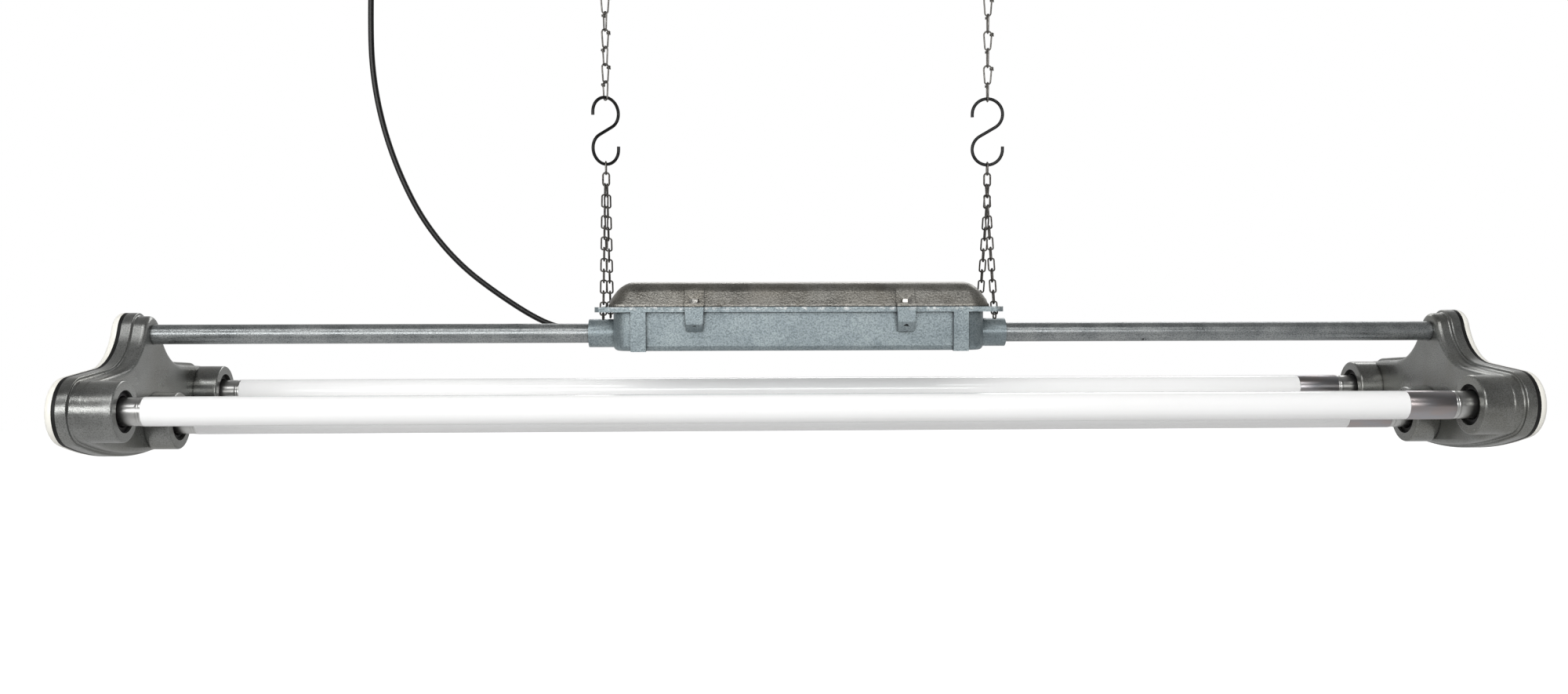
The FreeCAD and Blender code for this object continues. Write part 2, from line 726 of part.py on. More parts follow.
def make_end_cover():
    """Right end cover: shallow, round-edged shell with a pillar at each screw."""
    body = new_body("end_cover_right")
    start = "cover_face"
    far = size.cover_face + size.cover_depth
    shell = feature(body, "Pad", sketch(body, "YZ", lobed_outline(size.rim_lip), start), "cover_depth")
    rounded(body, shell, "cover_edge", lambda edge, middle: near(middle.x, far) and edge.BoundBox.XLength < 1e-3)
    hollow = sketch(body, "YZ", lobed_outline(size.rim_lip - size.cover_wall), start)
    feature(body, "Pocket", hollow, "cover_hollow", Reversed=True)
    pillars = [circle(centre, size.post_radius) for centre in post_centres()]
    feature(body, "Pad", sketch(body, "YZ", pillars, start), "cover_hollow + cover_wall / 2")
    holes = [circle(centre, size.post_hole_radius) for centre in post_centres()]
    feature(body, "Pocket", sketch(body, "YZ", holes, start), "cover_depth", Reversed=True)
    return body


def make_cover_screws():
    """Screws of the right end cover."""
    seat = "cover_face + cover_depth"
    screws = []
    for number, (y, z) in enumerate(POST_PLACES):
        head = cylinder(
            f"cover_screw_head_{number}", "cover_screw_head", "cover_screw_head_height", seat, y, z, Vector(1, 0, 0)
        )
        reach = "cover_depth + post_hole_depth - 1"
        shank = cylinder(
            f"cover_screw_shank_{number}", "cover_screw_radius", reach, f"{seat} - ({reach})", y, z, Vector(1, 0, 0)
        )
        screws.append(fused(f"cover_screw_{number}", [head, shank]))
    return group("cover_screws_right", screws)


# ---------------------------------------------------------------- lamps and what holds them
def make_lampholder(label, side, y, z):
    """Rotary lampholder in a boss, with a round recess for the pins."""
    front = size.tube_length / 2 + size.running_gap
    floor = size.head_face + size.head_wall
    flange_end = floor + size.holder_flange_thickness
    recess = front + size.holder_recess_depth
    profile = [
        (front, size.holder_recess_radius),
        (front, size.holder_radius),
        (floor, size.holder_radius),
        (floor, size.holder_flange),
        (flange_end, size.holder_flange),
        (flange_end, size.holder_back_radius),
        (flange_end + size.holder_back_length, size.holder_back_radius),
        (flange_end + size.holder_back_length, 0),
        (front + 1, 0),
        (front + 1, size.holder_core_radius),
        (recess, size.holder_core_radius),
        (recess, size.holder_recess_radius),
    ]
    return turned(label, [(side * along, radius) for along, radius in profile], y=y, z=z)


def make_seal_rings(side, end):
    """Rubber rings between the tube caps and the bores of one head."""
    near_face = size.boss_face + size.ring_setback
    far_face = near_face + size.ring_thickness
    inner = size.tube_diameter / 2 + size.running_gap
    outer = size.bore_radius
    profile = [
        (side * near_face, inner + 0.8),
        (side * (near_face + 1.2), outer - 1.6),
        (side * (near_face + 1.2), outer),
        (side * far_face, outer),
        (side * far_face, inner),
        (side * (near_face + 1.6), inner),
    ]
    rings = [turned(f"seal_ring_{end}_{lamp}", profile, y=y, z=z) for lamp, (y, z) in LAMP_PLACES.items()]
    return group(f"seal_rings_{end}", rings)


def make_tube(lamp, y, z):
    """Opal tube of one lamp, hollow, from the left cap to the foil sleeve."""
    start = -size.tube_length / 2 + size.cap_length
    end = size.tube_length / 2 - size.cap_length - size.sleeve_length
    outer = size.tube_diameter / 2
    inner = outer - size.tube_wall
    profile = [(start, inner), (end, inner), (end, outer), (start, outer)]
    return turned(f"tube_{lamp}", profile, y=y, z=z)


def make_sleeve(lamp, y, z):
    """Foil-wrapped end of one lamp, between the opal part and the right cap."""
    end = size.tube_length / 2 - size.cap_length
    start = end - size.sleeve_length
    outer = size.tube_diameter / 2
    inner = outer - size.tube_wall
    profile = [(start, inner), (end, inner), (end, outer), (start, outer)]
    return turned(f"tube_sleeve_{lamp}", profile, y=y, z=z)


def make_caps(lamp, y, z):
    """The two end caps of one lamp with their pins."""
    far = size.tube_length / 2
    root = far - size.cap_length
    outer = size.tube_diameter / 2 - size.cap_inset
    inner = size.tube_diameter / 2 - size.tube_wall
    rib = outer + size.cap_rib
    caps = []
    for end, side in (("left", -1), ("right", 1)):
        profile = [
            (root, inner),
            (root, rib),
            (root + size.cap_rib_width, rib),
            (root + size.cap_rib_width, outer),
            (far - 1, outer),
            (far, outer - 1),
            (far, 0),
            (far - 1.5, 0),
            (far - 1.5, inner),
        ]
        shell = turned(f"cap_{lamp}_{end}", [(side * along, radius) for along, radius in profile], y=y, z=z)
        solids = [shell]
        for pin in (1, -1):
            solids.append(
                cylinder(
                    f"pin_{lamp}_{end}_{pin + 1}",
                    "pin_diameter / 2",
                    "pin_length + 1",
                    f"{side} * (tube_length / 2 - 1)",
                    y,
                    f"{z} + {pin} * pin_spacing / 2",
                    Vector(side, 0, 0),
                )
            )
        caps.append(fused(f"cap_with_pins_{lamp}_{end}", solids))
    return group(f"tube_caps_{lamp}", caps)


# ---------------------------------------------------------------- conduits
def make_conduit(label, side):
    """Conduit from a box socket into the cavity of a head."""
    start = size.socket_end - size.conduit_engagement
    end = size.head_face + size.head_wall + size.collar_length + size.nut_thickness + 1
    outer = size.conduit_diameter / 2
    inner = outer - size.conduit_wall
    ends = (side * start, side * end + size.lamp_shift)
    return turned(label, [(ends[0], inner), (ends[1], inner), (ends[1], outer), (ends[0], outer)])


def make_lock_nuts():
    """Lock nuts on the conduits inside the heads."""
    nuts = []
    for name, side in (("left", -1), ("right", 1)):
        seat = f"{side} * (head_face + head_wall + collar_length)"
        along = Vector(side, 0, 0)
        outer = prism(f"lock_nut_blank_{name}", "nut_across", "nut_thickness", seat, along=along)
        bore = cylinder(
            f"lock_nut_bore_{name}", "conduit_diameter / 2 + seat_gap", "nut_thickness", seat, along=along
        )
        nuts.append(cut(f"lock_nut_{name}", outer, bore))
    return group("conduit_lock_nuts", nuts)


# ---------------------------------------------------------------- gear box
CORNERS = ((1, 1), (-1, 1), (-1, -1), (1, -1))


def corner_points(x, y):
    """A point in each quarter of the box."""
    return [(a * x, b * y) for a, b in CORNERS]


def make_box_body():
    """Cast box body with its flange, ears, pads, bolt lugs, conduit sockets and gland boss."""
    body = new_body("gear_box_body")
    top = size.flange_top
    under = top - size.flange_thickness
    block_outline = rounded_rectangle(size.box_half_length, size.box_half_depth, size.box_corner)
    casting = feature(
        body, "Pad", sketch(body, "XY", block_outline, "-box_bottom"), "box_bottom + flange_top - flange_thickness"
    )
    rounded(body, casting, "box_bottom_edge", lambda edge, middle: near(middle.z, -size.box_bottom))
    pads = []
    for x, y in corner_points(size.pad_offset, size.flange_half_depth):
        inner = math.copysign(size.box_half_depth - size.box_wall, y)
        sides = (x - size.pad_half_width, x + size.pad_half_width)
        pads += polygon([(sides[0], inner), (sides[1], inner), (sides[1], y), (sides[0], y)])
    feature(
        body,
        "Pad",
        sketch(body, "XY", pads, "-box_bottom - pad_foot"),
        "box_bottom + pad_foot + flange_top - flange_thickness",
    )
    plate = rounded_rectangle(size.flange_half_length, size.flange_half_depth, size.flange_corner)
    feature(body, "Pad", sketch(body, "XY", plate, "flange_top - flange_thickness"), "flange_thickness")
    ear_points = corner_points(size.hang_half_span, size.ear_side)
    ears = []
    for x, y in ear_points:
        near_x = x - math.copysign(size.flange_corner, x)
        far_x = x + math.copysign(0, x)
        near_y = y - math.copysign(size.ear_radius, y)
        far_y = y + math.copysign(size.ear_radius, y)
        start, end = (-math.pi / 2, math.pi / 2) if x > 0 else (math.pi / 2, 3 * math.pi / 2)
        ears.append(arc((x, y), size.ear_radius, start, end))
        ears.append(line((far_x, near_y), (near_x, near_y)))
        ears.append(line((near_x, near_y), (near_x, far_y)))
        ears.append(line((near_x, far_y), (far_x, far_y)))
    feature(body, "Pad", sketch(body, "XY", ears, "flange_top - flange_thickness"), "flange_thickness")
    socket = sketch(body, "YZ", [circle((0, 0), size.socket_radius)])
    feature(body, "Pad", socket, "2 * socket_end", Midplane=True)
    gland_spot = (size.gland_side, size.gland_height)
    gland = sketch(body, "YZ", [circle(gland_spot, size.gland_boss_radius)], "-gland_boss_end")
    feature(body, "Pad", gland, "gland_boss_end - box_half_length + box_corner")
    lugs = []
    for x in (-size.lug_offset, size.lug_offset):
        foot = top - size.lug_height
        lugs += polygon(
            [
                (x - size.lug_half_width, top),
                (x - size.lug_foot_half_width, foot),
                (x + size.lug_foot_half_width, foot),
                (x + size.lug_half_width, top),
            ]
        )
    lug = feature(body, "Pad", sketch(body, "XZ", lugs), "2 * lug_reach", Midplane=True)
    slope = body.newObject("PartDesign::Chamfer", "lug_slopes")
    foot = top - size.lug_height
    slope_edges = edges_of(
        lug, lambda edge, middle: near(abs(middle.y), size.lug_reach) and near(middle.z, foot)
    )
    slope.Base = (lug, slope_edges)
    slope.ChamferType = "Two distances"
    bind(slope, Size="lug_slope_height", Size2="lug_slope_depth")
    doc.recompute()
    room = rounded_rectangle(
        size.box_half_length - size.box_wall, size.box_half_depth - size.box_wall, size.box_corner - size.box_wall
    )
    feature(body, "Pocket", sketch(body, "XY", room, "flange_top"), "flange_top + box_bottom - box_wall")
    gland_seat = sketch(body, "YZ", [circle(gland_spot, size.gland_seat_radius)], "box_wall / 2 - box_half_length")
    feature(body, "Pad", gland_seat, "box_wall / 2 + gland_seat_depth")
    tray_posts = [
        circle(point, size.tray_post_radius) for point in corner_points(size.tray_post_offset, size.tray_post_side)
    ]
    feature(body, "Pad", sketch(body, "XY", tray_posts, "box_wall - box_bottom"), "tray_post_height")
    seat = [circle((0, 0), size.conduit_diameter / 2 + size.seat_gap)]
    feature(body, "Pocket", sketch(body, "YZ", seat, "socket_end"), "conduit_engagement")
    feature(body, "Pocket", sketch(body, "YZ", seat, "-socket_end"), "conduit_engagement", Reversed=True)
    way = sketch(body, "YZ", [circle((0, 0), size.socket_way_radius)])
    feature(body, "Pocket", way, "2 * socket_end", Midplane=True)
    gland_hole = sketch(body, "YZ", [circle(gland_spot, size.gland_hole_radius)], "-gland_boss_end")
    feature(body, "Pocket", gland_hole, "gland_boss_end - box_half_length + box_corner", Reversed=True)
    bolt_holes = [
        circle(point, size.bolt_hole_radius) for point in corner_points(size.lug_offset, size.bolt_offset)
    ]
    feature(body, "Pocket", sketch(body, "XY", bolt_holes, "flange_top"), "bolt_hole_depth")
    ear_holes = [circle(point, size.ear_hole_radius) for point in ear_points]
    feature(body, "Pocket", sketch(body, "XY", ear_holes, "flange_top"), "flange_thickness + box_bottom")
    return body


def make_lid_gasket():
    """Thin gasket on the flange, inside the lid's bolts."""
    body = new_body("lid_gasket")
    outer = rounded_rectangle(size.lid_half_length, size.lid_half_depth, size.lid_corner)
    inner = rounded_rectangle(
        size.box_half_length - size.box_wall, size.box_half_depth - size.box_wall, size.box_corner - size.box_wall
    )
    ring = sketch(body, "XY", outer + inner, "flange_top")
    feature(body, "Pad", ring, "lid_gasket_thickness")
    holes = [circle(point, size.bolt_hole_radius) for point in corner_points(size.lug_offset, size.bolt_offset)]
    feature(body, "Pocket", sketch(body, "XY", holes, "flange_top + lid_gasket_thickness"), "lid_gasket_thickness")
    return body


def dome_profile(rise):
    """Centre and radius of the dome's rounding in (y, z) over the lip, and its foot's distance."""
    lean = math.radians(size.dome_slope)
    foot = size.lid_half_depth - size.dome_inset
    radius = size.dome_edge
    centre_z = size.dome_height - radius
    centre_y = foot - centre_z * math.tan(lean) - radius / math.cos(lean)
    return (centre_y, centre_z), radius + rise, foot + rise / math.cos(lean)


def band_outline(sign):
    """Section of the raised band that follows the dome from the lip upwards, in (y, z)."""
    base = size.lid_base + size.lid_lip
    lean = math.radians(size.dome_slope)
    (centre_y, centre_z), radius, foot = dome_profile(size.band_rise)
    end = math.asin((size.band_height - centre_z) / radius)
    inner = radius - size.band_rise - size.lid_wall / 2
    under = size.lid_lip / 2

    def spot(distance, angle):
        return (sign * (centre_y + distance * math.cos(angle)), base + centre_z + distance * math.sin(angle))

    bend = arc((sign * centre_y, base + centre_z), radius, lean, end)
    if sign < 0:
        bend = arc((sign * centre_y, base + centre_z), radius, math.pi - end, math.pi - lean)
    low_inner = (sign * (foot - size.band_rise - size.lid_wall), base - under)
    low_outer = (sign * (foot + under * math.tan(lean)), base - under)
    return [
        bend,
        line(spot(radius, end), spot(inner, end)),
        line(spot(inner, end), low_inner),
        line(low_inner, low_outer),
        line(low_outer, spot(radius, lean)),
    ]


def make_lid():
    """Domed lid with a thin lip, four raised bands and four bolt feet."""
    body = new_body("gear_box_lid")
    base = "lid_base"
    base_z = size.lid_base
    lip_outline = rounded_rectangle(size.lid_half_length, size.lid_half_depth, size.lid_corner)
    inset = size.dome_inset
    dome_outline = rounded_rectangle(
        size.lid_half_length - inset, size.lid_half_depth - inset, size.lid_corner - inset
    )
    dome = feature(body, "Pad", sketch(body, "XY", dome_outline, f"{base} + lid_lip"), "dome_height")
    bind(dome, TaperAngle="-dome_slope")
    doc.recompute()
    crown = base_z + size.lid_lip + size.dome_height
    rounded(body, dome, "dome_edge", lambda edge, middle: near(middle.z, crown))
    feature(body, "Pad", sketch(body, "XY", lip_outline, base), "lid_lip")
    lean = math.radians(size.dome_slope)
    back = inset + size.lid_wall / math.cos(lean) - size.lid_lip * math.tan(lean)
    room_outline = rounded_rectangle(
        size.lid_half_length - back, size.lid_half_depth - back, size.lid_corner - back
    )
    room = feature(
        body, "Pocket", sketch(body, "XY", room_outline, base), "lid_lip + dome_height - lid_wall", Reversed=True
    )
    bind(room, TaperAngle="-dome_slope")
    doc.recompute()
    ceiling = crown - size.lid_wall
    rounded(body, room, "dome_edge - lid_wall", lambda edge, middle: near(middle.z, ceiling))
    bands = band_outline(1) + band_outline(-1)
    for side in (1, -1):
        middle = f"{side} * lug_offset"
        drawing = sketch(body, "YZ", bands, middle)
        feature(body, "Pad", drawing, "2 * lug_half_width", Midplane=True)
    feet = []
    for x, y in corner_points(size.lug_offset, size.lug_reach):
        inner = math.copysign(size.lid_half_depth - size.lid_wall, y)
        sides = (x - size.lug_half_width, x + size.lug_half_width)
        feet += polygon([(sides[0], inner), (sides[1], inner), (sides[1], y), (sides[0], y)])
    feature(body, "Pad", sketch(body, "XY", feet, base), "foot_thickness")
    well = [
        circle(point, size.washer_radius + size.running_gap)
        for point in corner_points(size.lug_offset, size.bolt_offset)
    ]
    feature(
        body,
        "Pocket",
        sketch(body, "XY", well, f"{base} + foot_thickness"),
        "dome_height",
        Reversed=True,
    )
    holes = [circle(point, size.bolt_hole_radius) for point in corner_points(size.lug_offset, size.bolt_offset)]
    feature(body, "Pocket", sketch(body, "XY", holes, f"{base} + foot_thickness"), "foot_thickness")
    return body


def make_lid_bolts():
    """Four bolts with washers that hold the lid down."""
    bolts = []
    seat = "lid_base + foot_thickness"
    for number, (a, b) in enumerate(CORNERS):
        x, y = f"{a} * lug_offset", f"{b} * bolt_offset"
        pieces = [
            cylinder(f"bolt_washer_{number}", "washer_radius", "washer_thickness", x, y, seat),
            prism(f"bolt_head_{number}", "bolt_across", "bolt_head_height", x, y, f"{seat} + washer_thickness"),
            cylinder(f"bolt_shank_{number}", "bolt_radius", "bolt_length", x, y, f"{seat} - bolt_length"),
        ]
        bolts.append(fused(f"lid_bolt_{number}", pieces))
    return group("lid_bolts", bolts)


def make_tray():
    """Folded steel tray on the posts inside the box."""
    body = new_body("mounting_tray")
    level = "tray_level"
    plate = polygon(corner_points(size.tray_half_length, size.tray_half_depth))
    feature(body, "Pad", sketch(body, "XY", plate, level), "tray_thickness")
    folds = []
    for sign in (1, -1):
        outer = sign * size.tray_half_depth
        inner = outer - sign * size.tray_thickness
        x = size.tray_half_length
        folds += polygon([(-x, inner), (x, inner), (x, outer), (-x, outer)])
    feature(body, "Pad", sketch(body, "XY", folds, level), "tray_fold")
    holes = [
        circle(point, size.tray_hole_radius) for point in corner_points(size.tray_post_offset, size.tray_post_side)
    ]
    feature(body, "Pocket", sketch(body, "XY", holes, f"{level} + tray_thickness"), "tray_thickness")
    return body


def make_tray_screws():
    """Screws that hold the tray on its posts."""
    screws = []
    seat = "tray_level + tray_thickness"
    for number, (a, b) in enumerate(CORNERS):
        screws.append(
            cylinder(
                f"tray_screw_{number}",
                "tray_screw_head",
                "tray_thickness",
                f"{a} * tray_post_offset",
                f"{b} * tray_post_side",
                seat,
            )
        )
    return group("tray_screws", screws)


def make_terminal_block():
    """Row of screw terminals on the tray."""
    level = "tray_level + tray_thickness"
    start = "-terminal_offset - terminal_ways * terminal_pitch / 2"
    half = "terminal_depth / 2"
    pieces = []
    tools = []
    for way in range(int(size.terminal_ways)):
        x = f"{start} + {way} * terminal_pitch"
        pieces.append(
            block(f"terminal_way_{way}", "terminal_pitch - 1", "terminal_depth", "terminal_height", x, f"-{half}", level)
        )
        for side in (1, -1):
            tools.append(
                cylinder(
                    f"terminal_well_{way}_{side + 1}",
                    "terminal_screw_radius",
                    "terminal_height / 2",
                    f"{x} + terminal_pitch / 2 - 0.5",
                    f"{side} * terminal_depth / 4",
                    f"{level} + terminal_height / 2",
                )
            )
    pieces.append(
        block(
            "terminal_spine", "terminal_ways * terminal_pitch - 1", "terminal_depth", "terminal_height / 2",
            start, f"-{half}", level,
        )
    )
    return cut("terminal_block", fused("terminal_row", pieces), fused("terminal_wells", tools))


# ---------------------------------------------------------------- cable, gland and connector
def make_gland():
    """Gland body with its thread through the wall, and the lock nut inside."""
    along = Vector(1, 0, 0)
    inside = "box_wall + gland_seat_depth - box_half_length"
    y, z = "gland_side", "gland_height"
    length = f"gland_boss_end + {inside} + gland_lock_nut + 1"
    start = "-gland_boss_end - gland_hex_length"
    solids = [
        prism("gland_hexagon", "gland_hex_across", "gland_hex_length", start, y, z, along),
        cylinder("gland_thread", "gland_thread_radius", length, "-gland_boss_end", y, z, along),
    ]
    bore = cylinder(
        "gland_bore", "cable_diameter / 2 + seat_gap", f"{length} + gland_hex_length", start, y, z, along
    )
    stem = cut("gland_stem", fused("gland_blank", solids), bore)
    nut = prism("gland_nut_blank", "gland_hex_across", "gland_lock_nut", inside, y, z, along)
    way = cylinder("gland_nut_way", "gland_thread_radius + seat_gap", "gland_lock_nut", inside, y, z, along)
    return group("cable_gland", [stem, cut("gland_inner_nut", nut, way)])


def make_gland_nut():
    """Round nut of the gland with a tapered tip that grips the cable."""
    start = -(size.gland_boss_end + size.gland_hex_length)
    middle = start - size.gland_nut_length
    end = middle - size.gland_taper_length
    inner = size.cable_diameter / 2 + size.seat_gap
    profile = [
        (start, inner),
        (start, size.gland_nut_radius),
        (middle, size.gland_nut_radius),
        (end, size.gland_tip_radius),
        (end, inner),
    ]
    return turned("gland_nut", profile, y="gland_side", z="gland_height")


def cable_path():
    """Centre line of the cable: straight runs joined by tangent arcs, as large as the runs allow."""
    points = [Vector(-left, size.gland_side, height) for left, height in CABLE_ROUTE]
    edges = []
    start = points[0]
    radii = []
    for before, corner, after in zip(points, points[1:], points[2:]):
        incoming = (corner - before).normalize()
        outgoing = (after - corner).normalize()
        half_turn = incoming.getAngle(outgoing) / 2
        reach = 0.45 * min(corner.distanceToPoint(before), after.distanceToPoint(corner))
        radii.append(reach / math.tan(half_turn))
        first = corner - incoming * reach
        last = corner + outgoing * reach
        inward = (outgoing - incoming).normalize()
        depth = radii[-1] / math.cos(half_turn) - radii[-1]
        edges.append(Part.LineSegment(start, first).toShape())
        edges.append(Part.Arc(first, corner + inward * depth, last).toShape())
        start = last
    edges.append(Part.LineSegment(start, points[-1]).toShape())
    print("cable bend radii, mm:", ", ".join(f"{radius:.0f}" for radius in radii))
    return Part.Wire(edges)


def make_cable():
    """Supply cable from the gland's tip to its connector."""
    path = cable_path()
    start = path.OrderedEdges[0]
    section = Part.Wire(
        Part.makeCircle(size.cable_diameter / 2, start.valueAt(start.FirstParameter), start.tangentAt(start.FirstParameter))
    )
    shape = path.makePipeShell([section], True, False)
    expected = math.pi * size.cable_diameter**2 / 4 * path.Length
    print(f"cable length {path.Length:.1f} mm, volume {shape.Volume:.0f} of {expected:.0f} mm3")
    return shape_node(shape, "power_cable")


def make_cores():
    """Cores that fan out from the cable's upper end into the connector."""
    before, top = (Vector(-left, size.gland_side, height) for left, height in CABLE_ROUTE[-2:])
    ahead = (top - before).normalize()
    across = Vector(ahead.z, 0, -ahead.x)
    solids = []
    for way in (-1, 0, 1):
        foot = top + across * way * size.core_radius
        head = top + Vector(way * size.core_spread, 0, size.core_length)
        bend_low = foot + ahead * size.core_length * 0.25
        bend_high = head - Vector(0, 0, size.core_length * 0.25)
        solids.append(faceted_wire([foot, bend_low, bend_high, head], Vector(0, 1, 0), size.core_radius, closed=False))
    return shape_node(Part.makeCompound(solids), "supply_cores")


def make_connector():
    """Small screw connector on the cores, for the ceiling."""
    left, height = CABLE_ROUTE[-1]
    behind = size.gland_side
    base = height + size.core_length
    pieces = []
    for way in (-1, 0, 1):
        x = -left + way * size.connector_pitch
        low = Vector(x - size.connector_pitch / 2 + 0.4, behind - size.connector_depth / 2, base)
        body = Part.makeBox(size.connector_pitch - 0.8, size.connector_depth, size.connector_length, low)
        for level in (0.25, 0.75):
            spot = Vector(x, behind - size.connector_depth / 2, base + level * size.connector_length)
            body = body.cut(Part.makeCylinder(1.8, size.connector_depth * 0.4, spot, Vector(0, 1, 0)))
        pieces.append(body)
    web_low = Vector(
        -left - 1.5 * size.connector_pitch + 0.4, behind - size.connector_depth / 4, base + size.connector_length / 4
    )
    web = Part.makeBox(
        3 * size.connector_pitch - 0.8, size.connector_depth / 2, size.connector_length / 2, web_low
    )
    shape = pieces[0].multiFuse(pieces[1:] + [web])
    return shape_node(shape, "supply_connector")


# ---------------------------------------------------------------- hooks, links and chains
def hook_path_edges():
    """Centre line of an S-hook in (x, z): upper end on the left, lower end on the right."""
    bend = size.hook_bend
    low = size.hook_base + size.hook_wire / 2 + bend
    high = size.hook_base + size.hook_height - size.hook_wire / 2 - bend
    lean = math.asin(2 * bend / (high - low))
    return [
        line((-bend, high - size.hook_tail), (-bend, high)),
        arc((0, high), bend, -lean, math.pi),
        line(
            (bend * math.cos(lean), high - bend * math.sin(lean)),
            (-bend * math.cos(lean), low + bend * math.sin(lean)),
        ),
        arc((0, low), bend, math.pi - lean, 2 * math.pi),
        line((bend, low), (bend, low + size.hook_tail)),
    ]


def make_hook(label, side, twist):
    """S-hook of round wire between a knotted chain and a wire link."""
    body = new_body(label)
    path = sketch(body, "XZ", hook_path_edges())
    high = size.hook_base + size.hook_height - size.hook_wire / 2 - size.hook_bend
    section = sketch(
        body, "XY", [circle((-size.hook_bend, 0), size.hook_wire / 2)],
        "hook_base + hook_height - hook_wire / 2 - hook_bend - hook_tail",
    )
    pipe = body.newObject("PartDesign::AdditivePipe", f"{label}_wire")
    pipe.Profile = section
    pipe.Spine = (path, [f"Edge{number}" for number in range(1, 6)])
    doc.recompute()
    tail = high - size.hook_tail
    low_tail = size.hook_base + size.hook_wire / 2 + size.hook_bend + size.hook_tail
    rounded(
        body,
        pipe,
        "hook_end_edge",
        lambda edge, middle: edge.BoundBox.ZLength < 1e-3 and (near(middle.z, tail) or near(middle.z, low_tail)),
    )
    body.Placement = Placement(Vector(), Rotation(Vector(0, 0, 1), twist))
    place(body, x=f"{side} * hang_half_span")
    return body


def knot_length():
    """Length of a knotted link between its wires' centres, so that the chain just fills its drop."""
    gap = size.knot_wire + size.joint_gap
    top = size.hang_drop + size.knot_wire / 2
    hook_top = size.hook_base + size.hook_height - size.hook_wire
    bottom = hook_top - size.knot_wire / 2 - size.hook_gap
    return (top - bottom - gap) / size.knot_links + gap


def knotted_link(side, number):
    """One knotted link; odd ones lie in the XZ plane, even ones across it."""
    length = knot_length()
    pitch = length - size.knot_wire - size.joint_gap
    top = Vector(side * size.hang_half_span, 0, size.hang_drop + size.knot_wire / 2 - (number - 1) * pitch)
    steps = min(max(number - 2, 0), size.twist_links) if side < 0 else 0
    turn = size.left_twist * steps / size.twist_links
    across = turned_vector(turn + (0 if number % 2 else 90))
    along = Vector(0, 0, -1)
    loop = chain_link(link_path(length, size.knot_shoulder, size.knot_toe), size.knot_wire, top, across, along)
    wraps = []
    for step in (0, 1):
        centre = top + across * size.knot_shoulder + along * (size.knot_shoulder + step * size.wrap_wire)
        ring = []
        for spoke in range(WIRE_SIDES):
            angle = 2 * math.pi * spoke / WIRE_SIDES
            normal = across.cross(along)
            ring.append(centre + across * (size.wrap_radius * math.cos(angle)) + normal * (size.wrap_radius * math.sin(angle)))
        wraps.append(faceted_wire(ring, along, size.wrap_wire / 2))
    return loop.multiFuse(wraps)


def make_knotted_chains():
    """Knotted chains, split where they hinge: top links, second links, and the rest on each side."""
    last = int(size.knot_links)
    shape_node(Part.makeCompound([knotted_link(side, 1) for side in (-1, 1)]), "ceiling_links")
    shape_node(Part.makeCompound([knotted_link(side, 2) for side in (-1, 1)]), "swing_links")
    for end, side in (("left", -1), ("right", 1)):
        links = [knotted_link(side, number) for number in range(3, last + 1)]
        shape_node(Part.makeCompound(links), f"knotted_chain_{end}")


def wire_link_top():
    """Height of the centre of the wire link's upper wire."""
    return size.hook_base + size.hook_wire + size.wire_link_wire / 2 + size.hook_gap


def apex_top():
    """Height of the centre of the apex link's upper wire."""
    gap = (size.wire_link_wire + size.apex_wire) / 2 + size.joint_gap
    return wire_link_top() - size.wire_link_length + gap


def make_wire_and_apex_links():
    """The wire link under each S-hook and the apex link that gathers the bridle chains."""
    down = Vector(0, 0, -1)
    for end, side in (("left", -1), ("right", 1)):
        spot = Vector(side * size.hang_half_span, 0, wire_link_top())
        outline = link_path(size.wire_link_length, size.wire_link_bend, size.wire_link_bend)
        link = chain_link(outline, size.wire_link_wire, spot, Vector(0, 1, 0), down)
        shape_node(link, f"wire_link_{end}")
        spot = Vector(side * size.hang_half_span, 0, apex_top())
        outline = link_path(size.apex_length, size.apex_bend, size.apex_bend)
        shape_node(chain_link(outline, size.apex_wire, spot, Vector(1, 0, 0), down), f"apex_link_{end}")


def make_bridle_chains():
    """Four bridle chains of angular links from the apex links down through the ears."""
    gap = size.bridle_wire + size.joint_gap
    first_height = apex_top() - size.apex_length + (size.apex_wire + size.bridle_wire) / 2 + size.joint_gap
    ear_under = size.flange_top - size.flange_thickness
    keeper_height = ear_under - size.bridle_wire / 2 - size.joint_gap
    last_height = keeper_height - gap
    count = int(size.bridle_links)
    keepers = []
    for end, side in (("left", -1), ("right", 1)):
        for face, depth in (("front", -1), ("rear", 1)):
            start = Vector(side * size.hang_half_span + depth * size.bridle_side_step, 0, first_height)
            finish = Vector(side * size.hang_half_span, depth * size.ear_side, last_height)
            length = (start.distanceToPoint(finish) - gap) / count + gap
            along = (finish - start).normalize()
            flat = Vector(1, 0, 0)
            flat = (flat - along * flat.dot(along)).normalize()
            edge_on = along.cross(flat)
            outline = bevelled_path(length, size.bridle_half_width, size.bridle_corner)
            links = []
            for number in range(count):
                top = start + along * (number * (length - gap))
                links.append(chain_link(outline, size.bridle_wire, top, flat if number % 2 else edge_on, along))
            shape_node(Part.makeCompound(links), f"bridle_chain_{end}_{face}")
            keeper_top = Vector(finish.x, finish.y - length / 2, keeper_height - size.bridle_half_width)
            keepers.append(
                chain_link(outline, size.bridle_wire, keeper_top, Vector(0, 0, 1), Vector(0, 1, 0))
            )
    shape_node(Part.makeCompound(keepers), "retaining_links")


# ---------------------------------------------------------------- the whole light
make_knotted_chains()
node(make_hook("s_hook_left", -1, size.left_twist), "s_hook_left")
node(make_hook("s_hook_right", 1, 0), "s_hook_right")
make_wire_and_apex_links()
make_bridle_chains()

